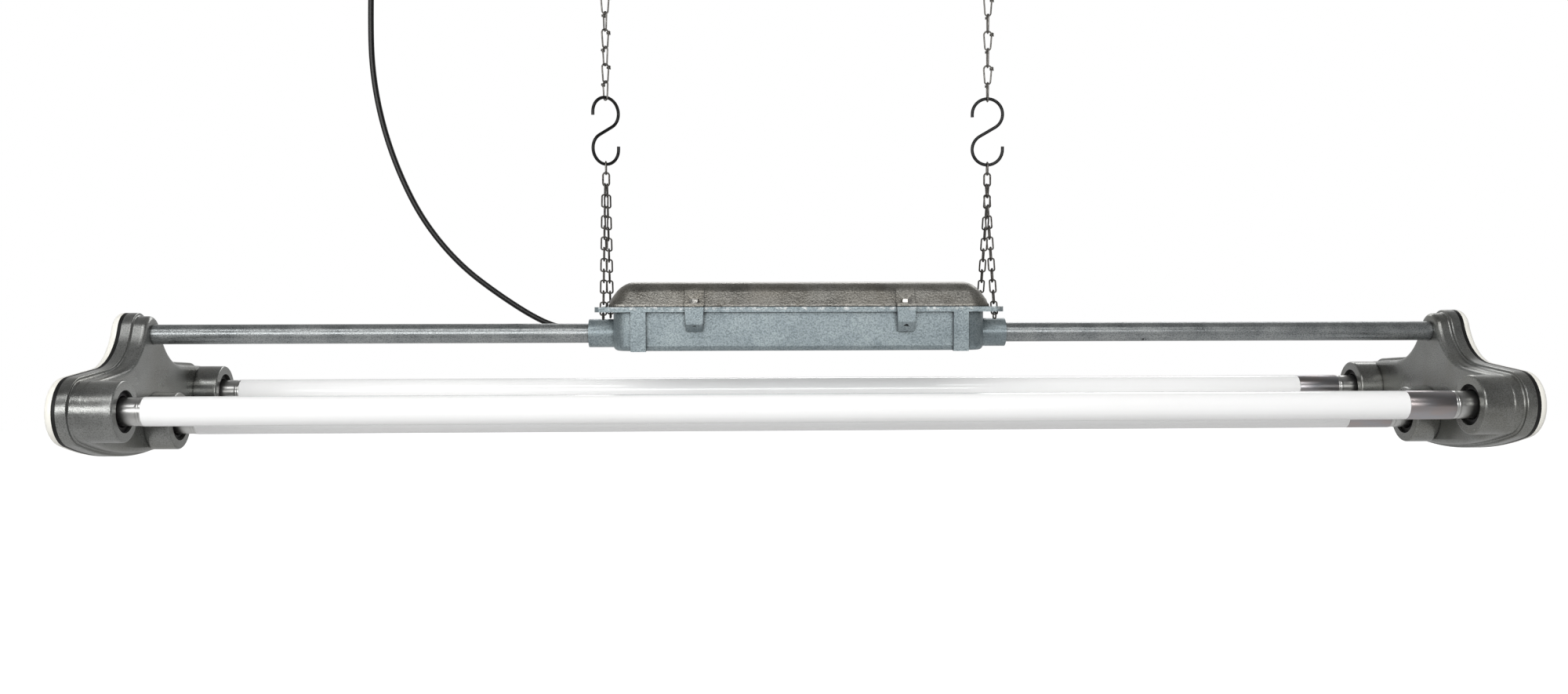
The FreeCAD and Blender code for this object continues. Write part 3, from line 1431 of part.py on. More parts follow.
node(make_box_body(), "gear_box_body")
node(make_lid_gasket(), "lid_gasket")
node(make_lid(), "gear_box_lid")
node(make_lid_bolts(), "lid_bolts")
node(make_tray(), "mounting_tray")
node(make_tray_screws(), "tray_screws")
node(make_terminal_block(), "terminal_block")
node(make_gland(), "cable_gland")
node(make_gland_nut(), "gland_nut")
make_cable()
make_cores()
make_connector()

node(make_conduit("conduit_left", -1), "conduit_left")
node(make_conduit("conduit_right", 1), "conduit_right")
node(make_lock_nuts(), "conduit_lock_nuts", "lamp_shift")

for maker, label in (
    (make_head, "head"),
    (make_cover_gasket, "cover_gasket"),
    (make_end_cover, "end_cover"),
    (make_cover_screws, "cover_screws"),
):
    right = node(maker(), f"{label}_right", "lamp_shift")
    mirrored(right, f"{label}_left")

for lamp, (y, z) in LAMP_PLACES.items():
    for end, side in (("left", -1), ("right", 1)):
        label = f"lampholder_{lamp}_{end}"
        node(make_lampholder(label, side, y, z), label, "lamp_shift")
    node(make_tube(lamp, y, z), f"tube_{lamp}", "lamp_shift")
    node(make_sleeve(lamp, y, z), f"tube_sleeve_{lamp}", "lamp_shift")
    node(make_caps(lamp, y, z), f"tube_caps_{lamp}", "lamp_shift")
for end, side in (("left", -1), ("right", 1)):
    node(make_seal_rings(side, end), f"seal_rings_{end}", "lamp_shift")

# ---------------------------------------------------------------- check and write
doc.recompute()
failed = [item.Name for item in doc.Objects if "Invalid" in item.State or "Error" in item.State]
if failed:
    raise RuntimeError(f"features that failed: {failed}")
for piece in nodes:
    if piece.Shape.isNull() or not piece.Shape.isValid() or piece.Shape.Volume <= 0:
        raise RuntimeError(f"the shape of {piece.Label} is not sound")
os.makedirs("parts", exist_ok=True)
for piece in nodes:
    piece.Shape.exportStep(f"parts/{piece.Label}.step")
print(f"{len(nodes)} nodes written")
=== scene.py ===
"""Looks of a hanging shop light: three opal tubes between two lobed cast heads, hung on chains.

All lengths that are written in millimetres are turned to metres by MM. The frame's origin lies
between the two ceiling hooks, +X runs along the tubes, +Y to the rear and +Z up. Heights that are
counted from the conduits' axis are led to the frame by DROP.
"""

import json
import logging
import math
from collections.abc import Callable, Iterable, Sequence
from dataclasses import dataclass
from enum import Enum

import bmesh
import bpy
from mathutils import Euler, Matrix, Vector

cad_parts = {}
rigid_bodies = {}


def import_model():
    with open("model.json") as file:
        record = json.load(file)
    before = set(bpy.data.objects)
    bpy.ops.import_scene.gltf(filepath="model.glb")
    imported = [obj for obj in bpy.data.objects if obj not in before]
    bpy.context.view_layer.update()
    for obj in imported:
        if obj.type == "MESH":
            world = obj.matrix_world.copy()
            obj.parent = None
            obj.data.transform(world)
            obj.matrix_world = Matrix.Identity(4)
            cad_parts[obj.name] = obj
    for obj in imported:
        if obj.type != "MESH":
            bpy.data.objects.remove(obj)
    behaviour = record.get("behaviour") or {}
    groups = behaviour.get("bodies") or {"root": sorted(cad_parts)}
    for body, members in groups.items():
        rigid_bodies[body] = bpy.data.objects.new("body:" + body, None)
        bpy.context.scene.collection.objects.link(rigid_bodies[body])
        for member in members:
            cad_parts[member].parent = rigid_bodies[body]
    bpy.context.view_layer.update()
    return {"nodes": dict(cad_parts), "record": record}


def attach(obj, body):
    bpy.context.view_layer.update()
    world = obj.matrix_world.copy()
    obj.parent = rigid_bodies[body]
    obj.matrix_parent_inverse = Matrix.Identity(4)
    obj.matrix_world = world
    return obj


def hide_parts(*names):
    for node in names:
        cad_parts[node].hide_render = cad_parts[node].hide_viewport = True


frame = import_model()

log = logging.getLogger("shop_light")

MM = 0.001
DROP = 353.5
Point = tuple[float, float, float]


class Side(Enum):
    """The two ends of the light."""

    LEFT = -1
    RIGHT = 1

    @property
    def word(self) -> str:
        """The end's name in node and body names."""
        return self.name.lower()


class Lamp(Enum):
    """The three tubes, with the place of each axis in (y, z), mm, from the conduits' axis."""

    FRONT = (-116.6, -63.2)
    REAR = (116.6, -63.2)
    LOWER = (0.0, -82.0)

    @property
    def word(self) -> str:
        """The tube's name in node and body names."""
        return self.name.lower()


def place(x: float, y: float, z: float) -> Vector:
    """A point in the frame from millimetres about the conduits' axis."""
    return Vector((x, y, z - DROP)) * MM


# ---------------------------------------------------------------- node helpers
def linear(code: str) -> tuple[float, float, float, float]:
    """Turns an sRGB hex colour into linear light.

    Args:
        code: six hex digits, such as "8f9aa0".

    Returns:
        Red, green, blue and an alpha of 1.
    """
    parts = [int(code[i : i + 2], 16) / 255 for i in (0, 2, 4)]
    return (*(p / 12.92 if p <= 0.04045 else ((p + 0.055) / 1.055) ** 2.4 for p in parts), 1.0)


def add_node(
    tree: bpy.types.NodeTree, kind: str, inputs: dict[str | int, object] | None = None, **settings: object
) -> bpy.types.Node:
    """Adds one node with its settings and links.

    Args:
        tree: the node tree.
        kind: the node's type name.
        inputs: socket name or index to a value, or to an output socket to link from.
        settings: properties of the node itself.

    Returns:
        The new node.
    """
    node = tree.nodes.new(kind)
    for name, value in settings.items():
        setattr(node, name, value)
    for key, value in (inputs or {}).items():
        if isinstance(value, bpy.types.NodeSocket):
            tree.links.new(value, node.inputs[key])
        else:
            node.inputs[key].default_value = value
    return node


@dataclass(frozen=True)
class Finish:
    """What every finish has: a name, a colour and how it takes light."""

    name: str
    colour: str
    roughness: float = 0.5
    metallic: float = 0.0
    ior: float = 1.5

    def start(self) -> tuple[bpy.types.Material, bpy.types.NodeTree, bpy.types.Node, bpy.types.NodeSocket]:
        """Makes the material with its shader.

        Returns:
            The material, its tree, the shader node and the object coordinates.
        """
        material = bpy.data.materials.new(self.name)
        material.use_nodes = True
        tree = material.node_tree
        tree.nodes.clear()
        shader = add_node(
            tree,
            "ShaderNodeBsdfPrincipled",
            {
                "Base Color": linear(self.colour),
                "Roughness": self.roughness,
                "Metallic": self.metallic,
                "IOR": self.ior,
            },
        )
        add_node(tree, "ShaderNodeOutputMaterial", {"Surface": shader.outputs["BSDF"]})
        coords = add_node(tree, "ShaderNodeTexCoord").outputs["Object"]
        return material, tree, shader, coords

    def make(self) -> bpy.types.Material:
        """Makes the material."""
        raise NotImplementedError


@dataclass(frozen=True)
class HammerPaint(Finish):
    """Hammer-finish paint sprayed over an aluminium casting: a pebbled, slightly glossy skin, with painted shade
    darkening its creases and recesses.
    """

    light: str = "b4bcc0"
    dark: str = "6f7a80"
    stain: str = "7d7565"
    stain_share: float = 0.0
    pebble_mm: float = 2.2
    pebble_height_mm: float = 0.16
    cloud_mm: float = 26.0
    chips: float = 0.0
    metal: str = "c9cbc9"
    scuff_height: float | None = None
    # Painted shade in creases: its near-black colour, how strongly it is mixed in, and how far the occlusion
    # looks.
    grime: str = "1c1d1c"
    grime_share: float = 0.8
    grime_reach_mm: float = 3.5

    def make(self) -> bpy.types.Material:
        """Makes the material."""
        material, tree, shader, coords = self.start()
        cloud = add_node(
            tree,
            "ShaderNodeTexNoise",
            {"Vector": coords, "Scale": 1000 / self.cloud_mm, "Detail": 4.0, "Roughness": 0.6},
        )
        pebble = add_node(
            tree,
            "ShaderNodeTexVoronoi",
            {"Vector": coords, "Scale": 1000 / self.pebble_mm, "Smoothness": 0.6, "Randomness": 1.0},
            feature="SMOOTH_F1",
        )
        speck = add_node(
            tree, "ShaderNodeTexNoise", {"Vector": coords, "Scale": 1400 / self.pebble_mm, "Detail": 2.0}
        )
        spread = add_node(
            tree,
            "ShaderNodeMapRange",
            {"Value": cloud.outputs["Fac"], "From Min": 0.34, "From Max": 0.68, "To Min": 0.0, "To Max": 1.0},
        )
        base = add_node(
            tree,
            "ShaderNodeMix",
            {0: spread.outputs[0], 6: linear(self.colour), 7: linear(self.light)},
            data_type="RGBA",
        )
        grain = add_node(
            tree,
            "ShaderNodeMapRange",
            {"Value": speck.outputs["Fac"], "From Min": 0.56, "From Max": 0.36, "To Min": 0.0, "To Max": 0.55},
        )
        grained = add_node(
            tree,
            "ShaderNodeMix",
            {0: grain.outputs[0], 6: base.outputs[2], 7: linear(self.dark)},
            data_type="RGBA",
        )
        colour = grained.outputs[2]
        if self.stain_share:
            blot = add_node(
                tree,
                "ShaderNodeTexNoise",
                {"Vector": coords, "Scale": 1000 / (self.cloud_mm * 1.7), "Detail": 6.0, "Distortion": 0.6},
            )
            share = add_node(
                tree,
                "ShaderNodeMapRange",
                {"Value": blot.outputs["Fac"], "From Min": 0.42, "From Max": 0.64, "To Max": self.stain_share},
            )
            colour = add_node(
                tree, "ShaderNodeMix", {0: share.outputs[0], 6: colour, 7: linear(self.stain)}, data_type="RGBA"
            ).outputs[2]
        bare = None
        if self.chips:
            nick = add_node(
                tree,
                "ShaderNodeTexNoise",
                {"Vector": coords, "Scale": 110.0, "Detail": 5.0, "Roughness": 0.65, "Distortion": 0.3},
            )
            bare = add_node(
                tree,
                "ShaderNodeMapRange",
                {
                    "Value": nick.outputs["Fac"],
                    "From Min": 0.73 - 0.12 * self.chips,
                    "From Max": 0.76 - 0.12 * self.chips,
                },
            ).outputs[0]
        if self.scuff_height is not None:
            height = add_node(tree, "ShaderNodeSeparateXYZ", {"Vector": coords}).outputs["Z"]
            level = (self.scuff_height - DROP) * MM
            off = add_node(tree, "ShaderNodeMath", {0: height, 1: level}, operation="SUBTRACT")
            far = add_node(tree, "ShaderNodeMath", {0: off.outputs[0]}, operation="ABSOLUTE")
            band = add_node(
                tree,
                "ShaderNodeMapRange",
                {"Value": far.outputs[0], "From Min": 0.0005, "From Max": 0.003, "To Min": 1.0, "To Max": 0.0},
            )
            scratch = add_node(
                tree,
                "ShaderNodeTexNoise",
                {"Vector": coords, "Scale": 85.0, "Detail": 8.0, "Roughness": 0.75},
            )
            rubbed = add_node(
                tree,
                "ShaderNodeMapRange",
                {"Value": scratch.outputs["Fac"], "From Min": 0.5, "From Max": 0.62},
            )
            worn = add_node(
                tree, "ShaderNodeMath", {0: band.outputs[0], 1: rubbed.outputs[0]}, operation="MULTIPLY"
            ).outputs[0]
            if bare is None:
                bare = worn
            else:
                bare = add_node(tree, "ShaderNodeMath", {0: bare, 1: worn}, operation="MAXIMUM").outputs[0]
        if bare is not None:
            colour = add_node(
                tree, "ShaderNodeMix", {0: bare, 6: colour, 7: linear(self.metal)}, data_type="RGBA"
            ).outputs[2]
        # Painted shade: near-black is mixed into the colour where ambient occlusion finds creases and recesses,
        # so they stay dark under any lamp.
        if self.grime_share:
            reach = self.grime_reach_mm * MM
            crevice = add_node(tree, "ShaderNodeAmbientOcclusion", {"Distance": reach}, samples=6)
            painted_crevice_shade = add_node(
                tree,
                "ShaderNodeMapRange",
                {
                    "Value": crevice.outputs["AO"],
                    "From Min": 0.8,
                    "From Max": 0.35,
                    "To Max": self.grime_share,
                },
            )
            colour = add_node(
                tree,
                "ShaderNodeMix",
                {0: painted_crevice_shade.outputs[0], 6: colour, 7: linear(self.grime)},
                data_type="RGBA",
            ).outputs[2]
        tree.links.new(colour, shader.inputs["Base Color"])
        sheen = add_node(
            tree,
            "ShaderNodeMapRange",
            {
                "Value": cloud.outputs["Fac"],
                "From Min": 0.3,
                "From Max": 0.7,
                "To Min": self.roughness - 0.07,
                "To Max": self.roughness + 0.09,
            },
        )
        tree.links.new(sheen.outputs[0], shader.inputs["Roughness"])
        bump = add_node(
            tree,
            "ShaderNodeBump",
            {"Height": pebble.outputs["Distance"], "Strength": 0.55, "Distance": self.pebble_height_mm * MM},
        )
        tree.links.new(bump.outputs["Normal"], shader.inputs["Normal"])
        return material


@dataclass(frozen=True)
class DrawnSteel(Finish):
    """Drawn wire or turned steel with a thin dull zinc coat: streaky, half bright, dark in places."""

    tarnish: str = "4c4a46"
    streak_mm: float = 5.0
    share: float = 0.6

    def make(self) -> bpy.types.Material:
        """Makes the material."""
        material, tree, shader, coords = self.start()
        patch = add_node(
            tree,
            "ShaderNodeTexNoise",
            {"Vector": coords, "Scale": 1000 / self.streak_mm, "Detail": 5.0, "Roughness": 0.7},
        )
        dull = add_node(
            tree,
            "ShaderNodeMapRange",
            {"Value": patch.outputs["Fac"], "From Min": 0.38, "From Max": 0.66, "To Max": self.share},
        )
        mix = add_node(
            tree,
            "ShaderNodeMix",
            {0: dull.outputs[0], 6: linear(self.colour), 7: linear(self.tarnish)},
            data_type="RGBA",
        )
        tree.links.new(mix.outputs[2], shader.inputs["Base Color"])
        rough = add_node(
            tree,
            "ShaderNodeMapRange",
            {
                "Value": patch.outputs["Fac"],
                "From Min": 0.3,
                "From Max": 0.7,
                "To Min": self.roughness - 0.08,
                "To Max": self.roughness + 0.15,
            },
        )
        tree.links.new(rough.outputs[0], shader.inputs["Roughness"])
        bump = add_node(
            tree, "ShaderNodeBump", {"Height": patch.outputs["Fac"], "Strength": 0.3, "Distance": 0.05 * MM}
        )
        tree.links.new(bump.outputs["Normal"], shader.inputs["Normal"])
        return material


@dataclass(frozen=True)
class Moulded(Finish):
    """Moulded rubber, nylon or plastic: one colour, a fine grain from the mould and faint dust."""

    dust: str = "9a958a"
    dust_share: float = 0.12
    grain_mm: float = 0.8
    grain_height_mm: float = 0.03

    def make(self) -> bpy.types.Material:
        """Makes the material."""
        material, tree, shader, coords = self.start()
        haze = add_node(tree, "ShaderNodeTexNoise", {"Vector": coords, "Scale": 60.0, "Detail": 5.0})
        share = add_node(
            tree,
            "ShaderNodeMapRange",
            {"Value": haze.outputs["Fac"], "From Min": 0.4, "From Max": 0.75, "To Max": self.dust_share},
        )
        mix = add_node(
            tree,
            "ShaderNodeMix",
            {0: share.outputs[0], 6: linear(self.colour), 7: linear(self.dust)},
            data_type="RGBA",
        )
        tree.links.new(mix.outputs[2], shader.inputs["Base Color"])
        fineness = 1000 / self.grain_mm
        grain = add_node(tree, "ShaderNodeTexNoise", {"Vector": coords, "Scale": fineness, "Detail": 2.0})
        bump = add_node(
            tree,
            "ShaderNodeBump",
            {"Height": grain.outputs["Fac"], "Strength": 0.4, "Distance": self.grain_height_mm * MM},
        )
        tree.links.new(bump.outputs["Normal"], shader.inputs["Normal"])
        return material


@dataclass(frozen=True)
class OpalGlass(Finish):
    """Glass tube coated white inside: an even white body under a clear, smooth gloss."""

    thin_coat: str = "fbfbfa"
    cloud_scale: float = 9.0
    gloss: float = 0.6
    gloss_roughness: float = 0.06

    def make(self) -> bpy.types.Material:
        """Makes the material."""
        material, tree, shader, coords = self.start()
        film = add_node(
            tree, "ShaderNodeTexNoise", {"Vector": coords, "Scale": self.cloud_scale, "Detail": 3.0}
        )
        mix = add_node(
            tree,
            "ShaderNodeMix",
            {0: film.outputs["Fac"], 6: linear(self.colour), 7: linear(self.thin_coat)},
            data_type="RGBA",
        )
        tree.links.new(mix.outputs[2], shader.inputs["Base Color"])
        shader.inputs["Coat Weight"].default_value = self.gloss
        shader.inputs["Coat Roughness"].default_value = self.gloss_roughness
        return material


@dataclass(frozen=True)
class RingedAluminium(Finish):
    """Pressed aluminium cap: fine rings from the tool round its axis, bright between them."""

    crest: str = "d6d6d4"
    # The real rings are finer than this; they are drawn as coarse as they need to show.
    ring_mm: float = 0.9
    ring_height_mm: float = 0.03

    def make(self) -> bpy.types.Material:
        """Makes the material."""
        material, tree, shader, coords = self.start()
        rings = add_node(
            tree,
            "ShaderNodeTexWave",
            {"Vector": coords, "Scale": 1000 / self.ring_mm / 2, "Distortion": 0.4, "Detail": 2.0},
            bands_direction="X",
        )
        tone = add_node(
            tree,
            "ShaderNodeMix",
            {0: rings.outputs["Fac"], 6: linear(self.colour), 7: linear(self.crest)},
            data_type="RGBA",
        )
        tree.links.new(tone.outputs[2], shader.inputs["Base Color"])
        bump = add_node(
            tree,
            "ShaderNodeBump",
            {"Height": rings.outputs["Fac"], "Strength": 0.3, "Distance": self.ring_height_mm * MM},
        )
        tree.links.new(bump.outputs["Normal"], shader.inputs["Normal"])
        return material


@dataclass(frozen=True)
class MetallisedFilm(Finish):
    """Metallised film laid smooth on glass: silvery, with a faint drag along the tube."""

    drag_mm: float = 9.0
    drag_height_mm: float = 0.02
    tint: str = "a79f9e"

    def make(self) -> bpy.types.Material:
        """Makes the material."""
        material, tree, shader, coords = self.start()
        along = add_node(tree, "ShaderNodeMapping", {"Vector": coords, "Scale": (0.35, 1.0, 1.0)})
        drag = add_node(
            tree,
            "ShaderNodeTexNoise",
            {"Vector": along.outputs[0], "Scale": 1000 / self.drag_mm, "Detail": 4.0, "Distortion": 0.5},
        )
        tone = add_node(
            tree,
            "ShaderNodeMapRange",
            {"Value": drag.outputs["Fac"], "From Min": 0.35, "From Max": 0.65},
        )
        mix = add_node(
            tree,
            "ShaderNodeMix",
            {0: tone.outputs[0], 6: linear(self.colour), 7: linear(self.tint)},
            data_type="RGBA",
        )
        tree.links.new(mix.outputs[2], shader.inputs["Base Color"])
        bump = add_node(
            tree,
            "ShaderNodeBump",
            {"Height": drag.outputs["Fac"], "Strength": 0.5, "Distance": self.drag_height_mm * MM},
        )
        tree.links.new(bump.outputs["Normal"], shader.inputs["Normal"])
        return material


class Finishes:
    """All finishes of the light, made once."""

    def __init__(self) -> None:
        """Makes the materials."""
        # Hammer-finish paint with aluminium flake, blue-grey: pebbled, satin, rubbed pale on the flange edge,
        # with a deeper painted shade in its creases, as under the flange.
        self.box_paint = HammerPaint(
            "blue_grey_hammer_paint", "838e92", roughness=0.38, metallic=0.55, light="9ba6a9", dark="525d61",
            scuff_height=24.6, metal="dcdedd", pebble_mm=1.9, grime_share=0.9, grime_reach_mm=5.0,
        ).make()
        # The same paint gone warm and thin on the lid, where heat and dust settle.
        self.lid_paint = HammerPaint(
            "heat_worn_hammer_paint", "7d7b76", roughness=0.32, metallic=0.85, light="9c9a94", dark="45443f",
            stain="6f6655", stain_share=0.22, pebble_mm=1.7, pebble_height_mm=0.2,
        ).make()
        # Satin silver-grey enamel on the cast heads, lightly soiled.
        self.head_paint = HammerPaint(
            "silver_grey_enamel", "868785", roughness=0.29, metallic=0.88, light="9b9c9a", dark="5d5e5b",
            pebble_mm=1.4, pebble_height_mm=0.05, cloud_mm=40.0, stain="5c5848", stain_share=0.3, chips=0.15,
            metal="b9bab4",
        ).make()
        # Silver paint over steel conduit: speckled, with a few chips down to dark steel.
        self.conduit_paint = HammerPaint(
            "silver_speckle_on_conduit", "8e9293", roughness=0.32, metallic=0.8, light="a8abab", dark="45494b",
            pebble_mm=1.6, pebble_height_mm=0.1, chips=0.45, metal="26282a",
        ).make()
        # Dull zinc on drawn wire.
        self.chain_wire = DrawnSteel("dull_zinc_wire", "7d7a76", roughness=0.34, metallic=0.95).make()
        # The same wire, darker with age.
        self.bridle_wire = DrawnSteel(
            "aged_zinc_wire", "686561", roughness=0.36, metallic=0.9, tarnish="262421", share=0.85
        ).make()
        # Black lacquered wire, satin.
        self.hook_black = Moulded(
            "black_lacquered_wire", "080808", roughness=0.34, ior=1.4, dust_share=0.02
        ).make()
        # Turned and plated bolts and screws.
        self.bolt_steel = DrawnSteel(
            "plated_bolt_steel", "c4c2bd", roughness=0.24, metallic=1.0, tarnish="77736b", share=0.5,
            streak_mm=2.5,
        ).make()
        # Galvanised sheet, folded.
        self.sheet_steel = DrawnSteel(
            "galvanised_sheet", "b3b4b2", roughness=0.36, metallic=0.9, tarnish="8b8c8b", streak_mm=12.0
        ).make()
        # Black rubber, matt.
        self.rubber = Moulded("black_moulded_rubber", "060606", roughness=0.55, ior=1.4, dust_share=0.02).make()
        # Moulded off-white plastic covers, glossy.
        self.cover = Moulded(
            "cream_moulded_cover", "f4f2ea", roughness=0.3, dust="cfc9b8", dust_share=0.15
        ).make()
        # White heat-proof plastic of the lampholders.
        self.holder = Moulded("white_lampholder_plastic", "dcdcd8", roughness=0.4).make()
        # Pale grey nylon gland.
        self.gland = Moulded("pale_grey_nylon", "b4b6b2", roughness=0.42).make()
        # Black flexible sheath of the supply cable.
        self.sheath = Moulded("black_cable_sheath", "070707", roughness=0.3, ior=1.4, dust_share=0.02).make()
        # Core insulation and the clear-white connector.
        self.core = Moulded("core_insulation", "4a3a30", roughness=0.45).make()
        self.connector = Moulded("natural_nylon_connector", "d9d6c8", roughness=0.38).make()
        # Glass, white inside.
        self.opal = OpalGlass("opal_coated_glass", "ffffff", roughness=0.22).make()
        # Brass terminal screws.
        self.brass = DrawnSteel(
            "turned_brass", "c9a860", roughness=0.28, metallic=1.0, tarnish="8a6f3a", share=0.4, streak_mm=2.0
        ).make()
        # Pressed aluminium and metallised film.
        self.cap = RingedAluminium("pressed_aluminium_cap", "a5a5a3", roughness=0.28, metallic=1.0).make()
        self.foil = MetallisedFilm("metallised_film", "a2a2a6", roughness=0.3, metallic=1.0).make()


# ---------------------------------------------------------------- mesh helpers
def show(
    name: str,
    mesh: bpy.types.Mesh,
    material: bpy.types.Material,
    body: str,
    replaces: Sequence[str] = (),
) -> bpy.types.Object:
    """Puts a finished mesh into the scene and tells the frame about it.

    Args:
        name: the piece's name.
        mesh: its mesh, in frame coordinates.
        material: its finish.
        body: the body that carries it.
        replaces: CAD nodes that it stands for.

    Returns:
        The piece's object.
    """
    piece = bpy.data.objects.new(name, mesh)
    bpy.context.scene.collection.objects.link(piece)
    mesh.materials.clear()
    mesh.materials.append(material)
    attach(piece, body)
    if replaces:
        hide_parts(*replaces)
    log.info("%s: %d faces on %s", name, len(mesh.polygons), body)
    return piece


def settled(carrier: bpy.types.Object) -> bpy.types.Mesh:
    """Turns an object with live modifiers, or a curve, into a plain mesh and removes the object.

    Args:
        carrier: the object.

    Returns:
        The resulting mesh.
    """
    graph = bpy.context.evaluated_depsgraph_get()
    mesh = bpy.data.meshes.new_from_object(carrier.evaluated_get(graph), depsgraph=graph)
    data = carrier.data
    bpy.data.objects.remove(carrier)
    if data.users == 0:
        (bpy.data.curves if isinstance(data, bpy.types.Curve) else bpy.data.meshes).remove(data)
    return mesh


def polished(node: str, crease_degrees: float = 32.0) -> bpy.types.Mesh:
    """A merged copy of a CAD node's mesh whose curved faces are shaded smooth.

    Args:
        node: the CAD node.
        crease_degrees: edges sharper than this stay sharp.

    Returns:
        The new mesh.
    """
    mesh = frame["nodes"][node].data.copy()
    bm = bmesh.new()
    bm.from_mesh(mesh)
    bmesh.ops.remove_doubles(bm, verts=bm.verts, dist=1e-6)
    limit = math.radians(crease_degrees)
    for face in bm.faces:
        face.smooth = True
    for edge in bm.edges:
        edge.smooth = len(edge.link_faces) == 2 and edge.calc_face_angle(0.0) < limit
    bm.to_mesh(mesh)
    bm.free()
    if "custom_normal" in mesh.attributes:
        mesh.attributes.remove(mesh.attributes["custom_normal"])
    carrier = bpy.data.objects.new(f"{node}_carrier", mesh)
    bpy.context.scene.collection.objects.link(carrier)
    weight = carrier.modifiers.new("weight", "WEIGHTED_NORMAL")
    weight.keep_sharp = True
    weight.weight = 100
    return settled(carrier)


def turned_mesh(
    name: str,
    profile: Sequence[tuple[float, float]],
    centre: Point = (0.0, 0.0, DROP),
    steps: int = 72,
    axis: Point = (1.0, 0.0, 0.0),
    relief: Callable[[float, float, float], float] | None = None,
    crease_degrees: float = 35.0,
) -> bpy.types.Mesh:
    """A body turned about an axis.

    Args:
        name: the mesh's name.
        profile: closed outline of (along, radius) in millimetres; radius 0 lies on the axis.
        centre: a point on the axis, in millimetres about the conduits' axis.
        steps: faces round the axis.
        axis: the axis' direction.
        relief: radius from (along, radius, share of a turn), for threads and flutes.
        crease_degrees: edges sharper than this stay sharp.

    Returns:
        The mesh.
    """
    along_axis = Vector(axis)
    across = Vector((0, 0, 1)) if abs(along_axis.z) < 0.9 else Vector((1, 0, 0))
    side = along_axis.cross(across)
    base = Vector(centre)
    bm = bmesh.new()
    rings = []
    for along, radius in profile:
        if radius < 1e-6:
            rings.append([bm.verts.new(place(*(base + along_axis * along)))] * steps)
            continue
        ring = []
        for step in range(steps):
            share = step / steps
            reach = relief(along, radius, share) if relief else radius
            turn = 2 * math.pi * share
            spot = base + along_axis * along + (across * math.cos(turn) + side * math.sin(turn)) * reach
            ring.append(bm.verts.new(place(*spot)))
        rings.append(ring)
    for here, there in zip(rings, rings[1:] + rings[:1]):
        for step in range(steps):
            ahead = (step + 1) % steps
            corners = list(dict.fromkeys([here[step], here[ahead], there[ahead], there[step]]))
            if len(corners) > 2:
                bm.faces.new(corners)
    bmesh.ops.recalc_face_normals(bm, faces=bm.faces)
    return shaded(name, bm, crease_degrees)


def shaded(name: str, bm: bmesh.types.BMesh, crease_degrees: float = 35.0) -> bpy.types.Mesh:
    """Turns a working mesh into a mesh that is smooth but for its sharp edges.

    Args:
        name: the mesh's name.
        bm: the working mesh, which is freed.
        crease_degrees: edges sharper than this stay sharp.

    Returns:
        The mesh.
    """
    limit = math.radians(crease_degrees)
    for face in bm.faces:
        face.smooth = True
    for edge in bm.edges:
        edge.smooth = len(edge.link_faces) == 2 and edge.calc_face_angle(0.0) < limit
    mesh = bpy.data.meshes.new(name)
    bm.to_mesh(mesh)
    bm.free()
    return mesh


def joined(name: str, parts: Iterable[bpy.types.Mesh]) -> bpy.types.Mesh:
    """Several meshes as one; the parts are used up.

    Args:
        name: the new mesh's name.
        parts: the meshes.

    Returns:
        The joined mesh.
    """
    bm = bmesh.new()
    for part in parts:
        bm.from_mesh(part)
        bpy.data.meshes.remove(part)
    mesh = bpy.data.meshes.new(name)
    bm.to_mesh(mesh)
    bm.free()
    return mesh


def prism_mesh(
    name: str, across: float, base: float, top: float, bevel: float, sides: int = 6
) -> bpy.types.Mesh:
    """An upright prism about the origin with its top edges bevelled.

    Args:
        name: the mesh's name.
        across: width across the flats, mm.
        base: height of its underside, mm.
        top: height of its top, mm.
        bevel: bevel of the top edges, mm.
        sides: number of flats.

    Returns:
        The mesh.
    """
    radius = across / 2 / math.cos(math.pi / sides) * MM
    height = (top - base) * MM
    bm = bmesh.new()
    middle = Matrix.Translation((0, 0, base * MM + height / 2))
    bmesh.ops.create_cone(
        bm, cap_ends=True, segments=sides, radius1=radius, radius2=radius, depth=height, matrix=middle
    )
    rim = [edge for edge in bm.edges if all(vert.co.z > top * MM - 1e-6 for vert in edge.verts)]
    bmesh.ops.bevel(bm, geom=rim, offset=bevel * MM, segments=3, profile=0.5, affect="EDGES")
    return shaded(name, bm, 20.0)


def carved(mesh: bpy.types.Mesh, tool: bpy.types.Mesh) -> bpy.types.Mesh:
    """A mesh with another one cut out of it; both are used up.

    Args:
        mesh: the mesh to cut.
        tool: what is cut away.

    Returns:
        The cut mesh.
    """
    carriers = []
    for part in (mesh, tool):
        carrier = bpy.data.objects.new(part.name, part)
        bpy.context.scene.collection.objects.link(carrier)
        carriers.append(carrier)
    cut = carriers[0].modifiers.new("cut", "BOOLEAN")
    cut.operation = "DIFFERENCE"
    cut.solver = "EXACT"
    cut.object = carriers[1]
    result = settled(carriers[0])
    bpy.data.objects.remove(carriers[1])
    bpy.data.meshes.remove(tool)
    bm = bmesh.new()
    bm.from_mesh(result)
    name = result.name
    bpy.data.meshes.remove(result)
    return shaded(name, bm, 30.0)


def swept_wire(name: str, points: Sequence[Vector], radius_mm: float, closed: bool = False) -> bpy.types.Mesh:
    """A round wire bent along a line of points.

    Args:
        name: the mesh's name.
        points: the centre line, in the frame.
        radius_mm: the wire's radius.
        closed: whether the wire closes on itself.

    Returns:
        The mesh.
    """
    curve = bpy.data.curves.new(name, "CURVE")
    curve.dimensions = "3D"
    curve.bevel_depth = radius_mm * MM
    curve.bevel_resolution = 5
    curve.use_fill_caps = True
    spline = curve.splines.new("POLY")
    spline.points.add(len(points) - 1)
    for target, point in zip(spline.points, points):
        target.co = (*point, 1.0)
    spline.use_cyclic_u = closed
    spline.use_smooth = True
    carrier = bpy.data.objects.new(name, curve)
    bpy.context.scene.collection.objects.link(carrier)
    return settled(carrier)


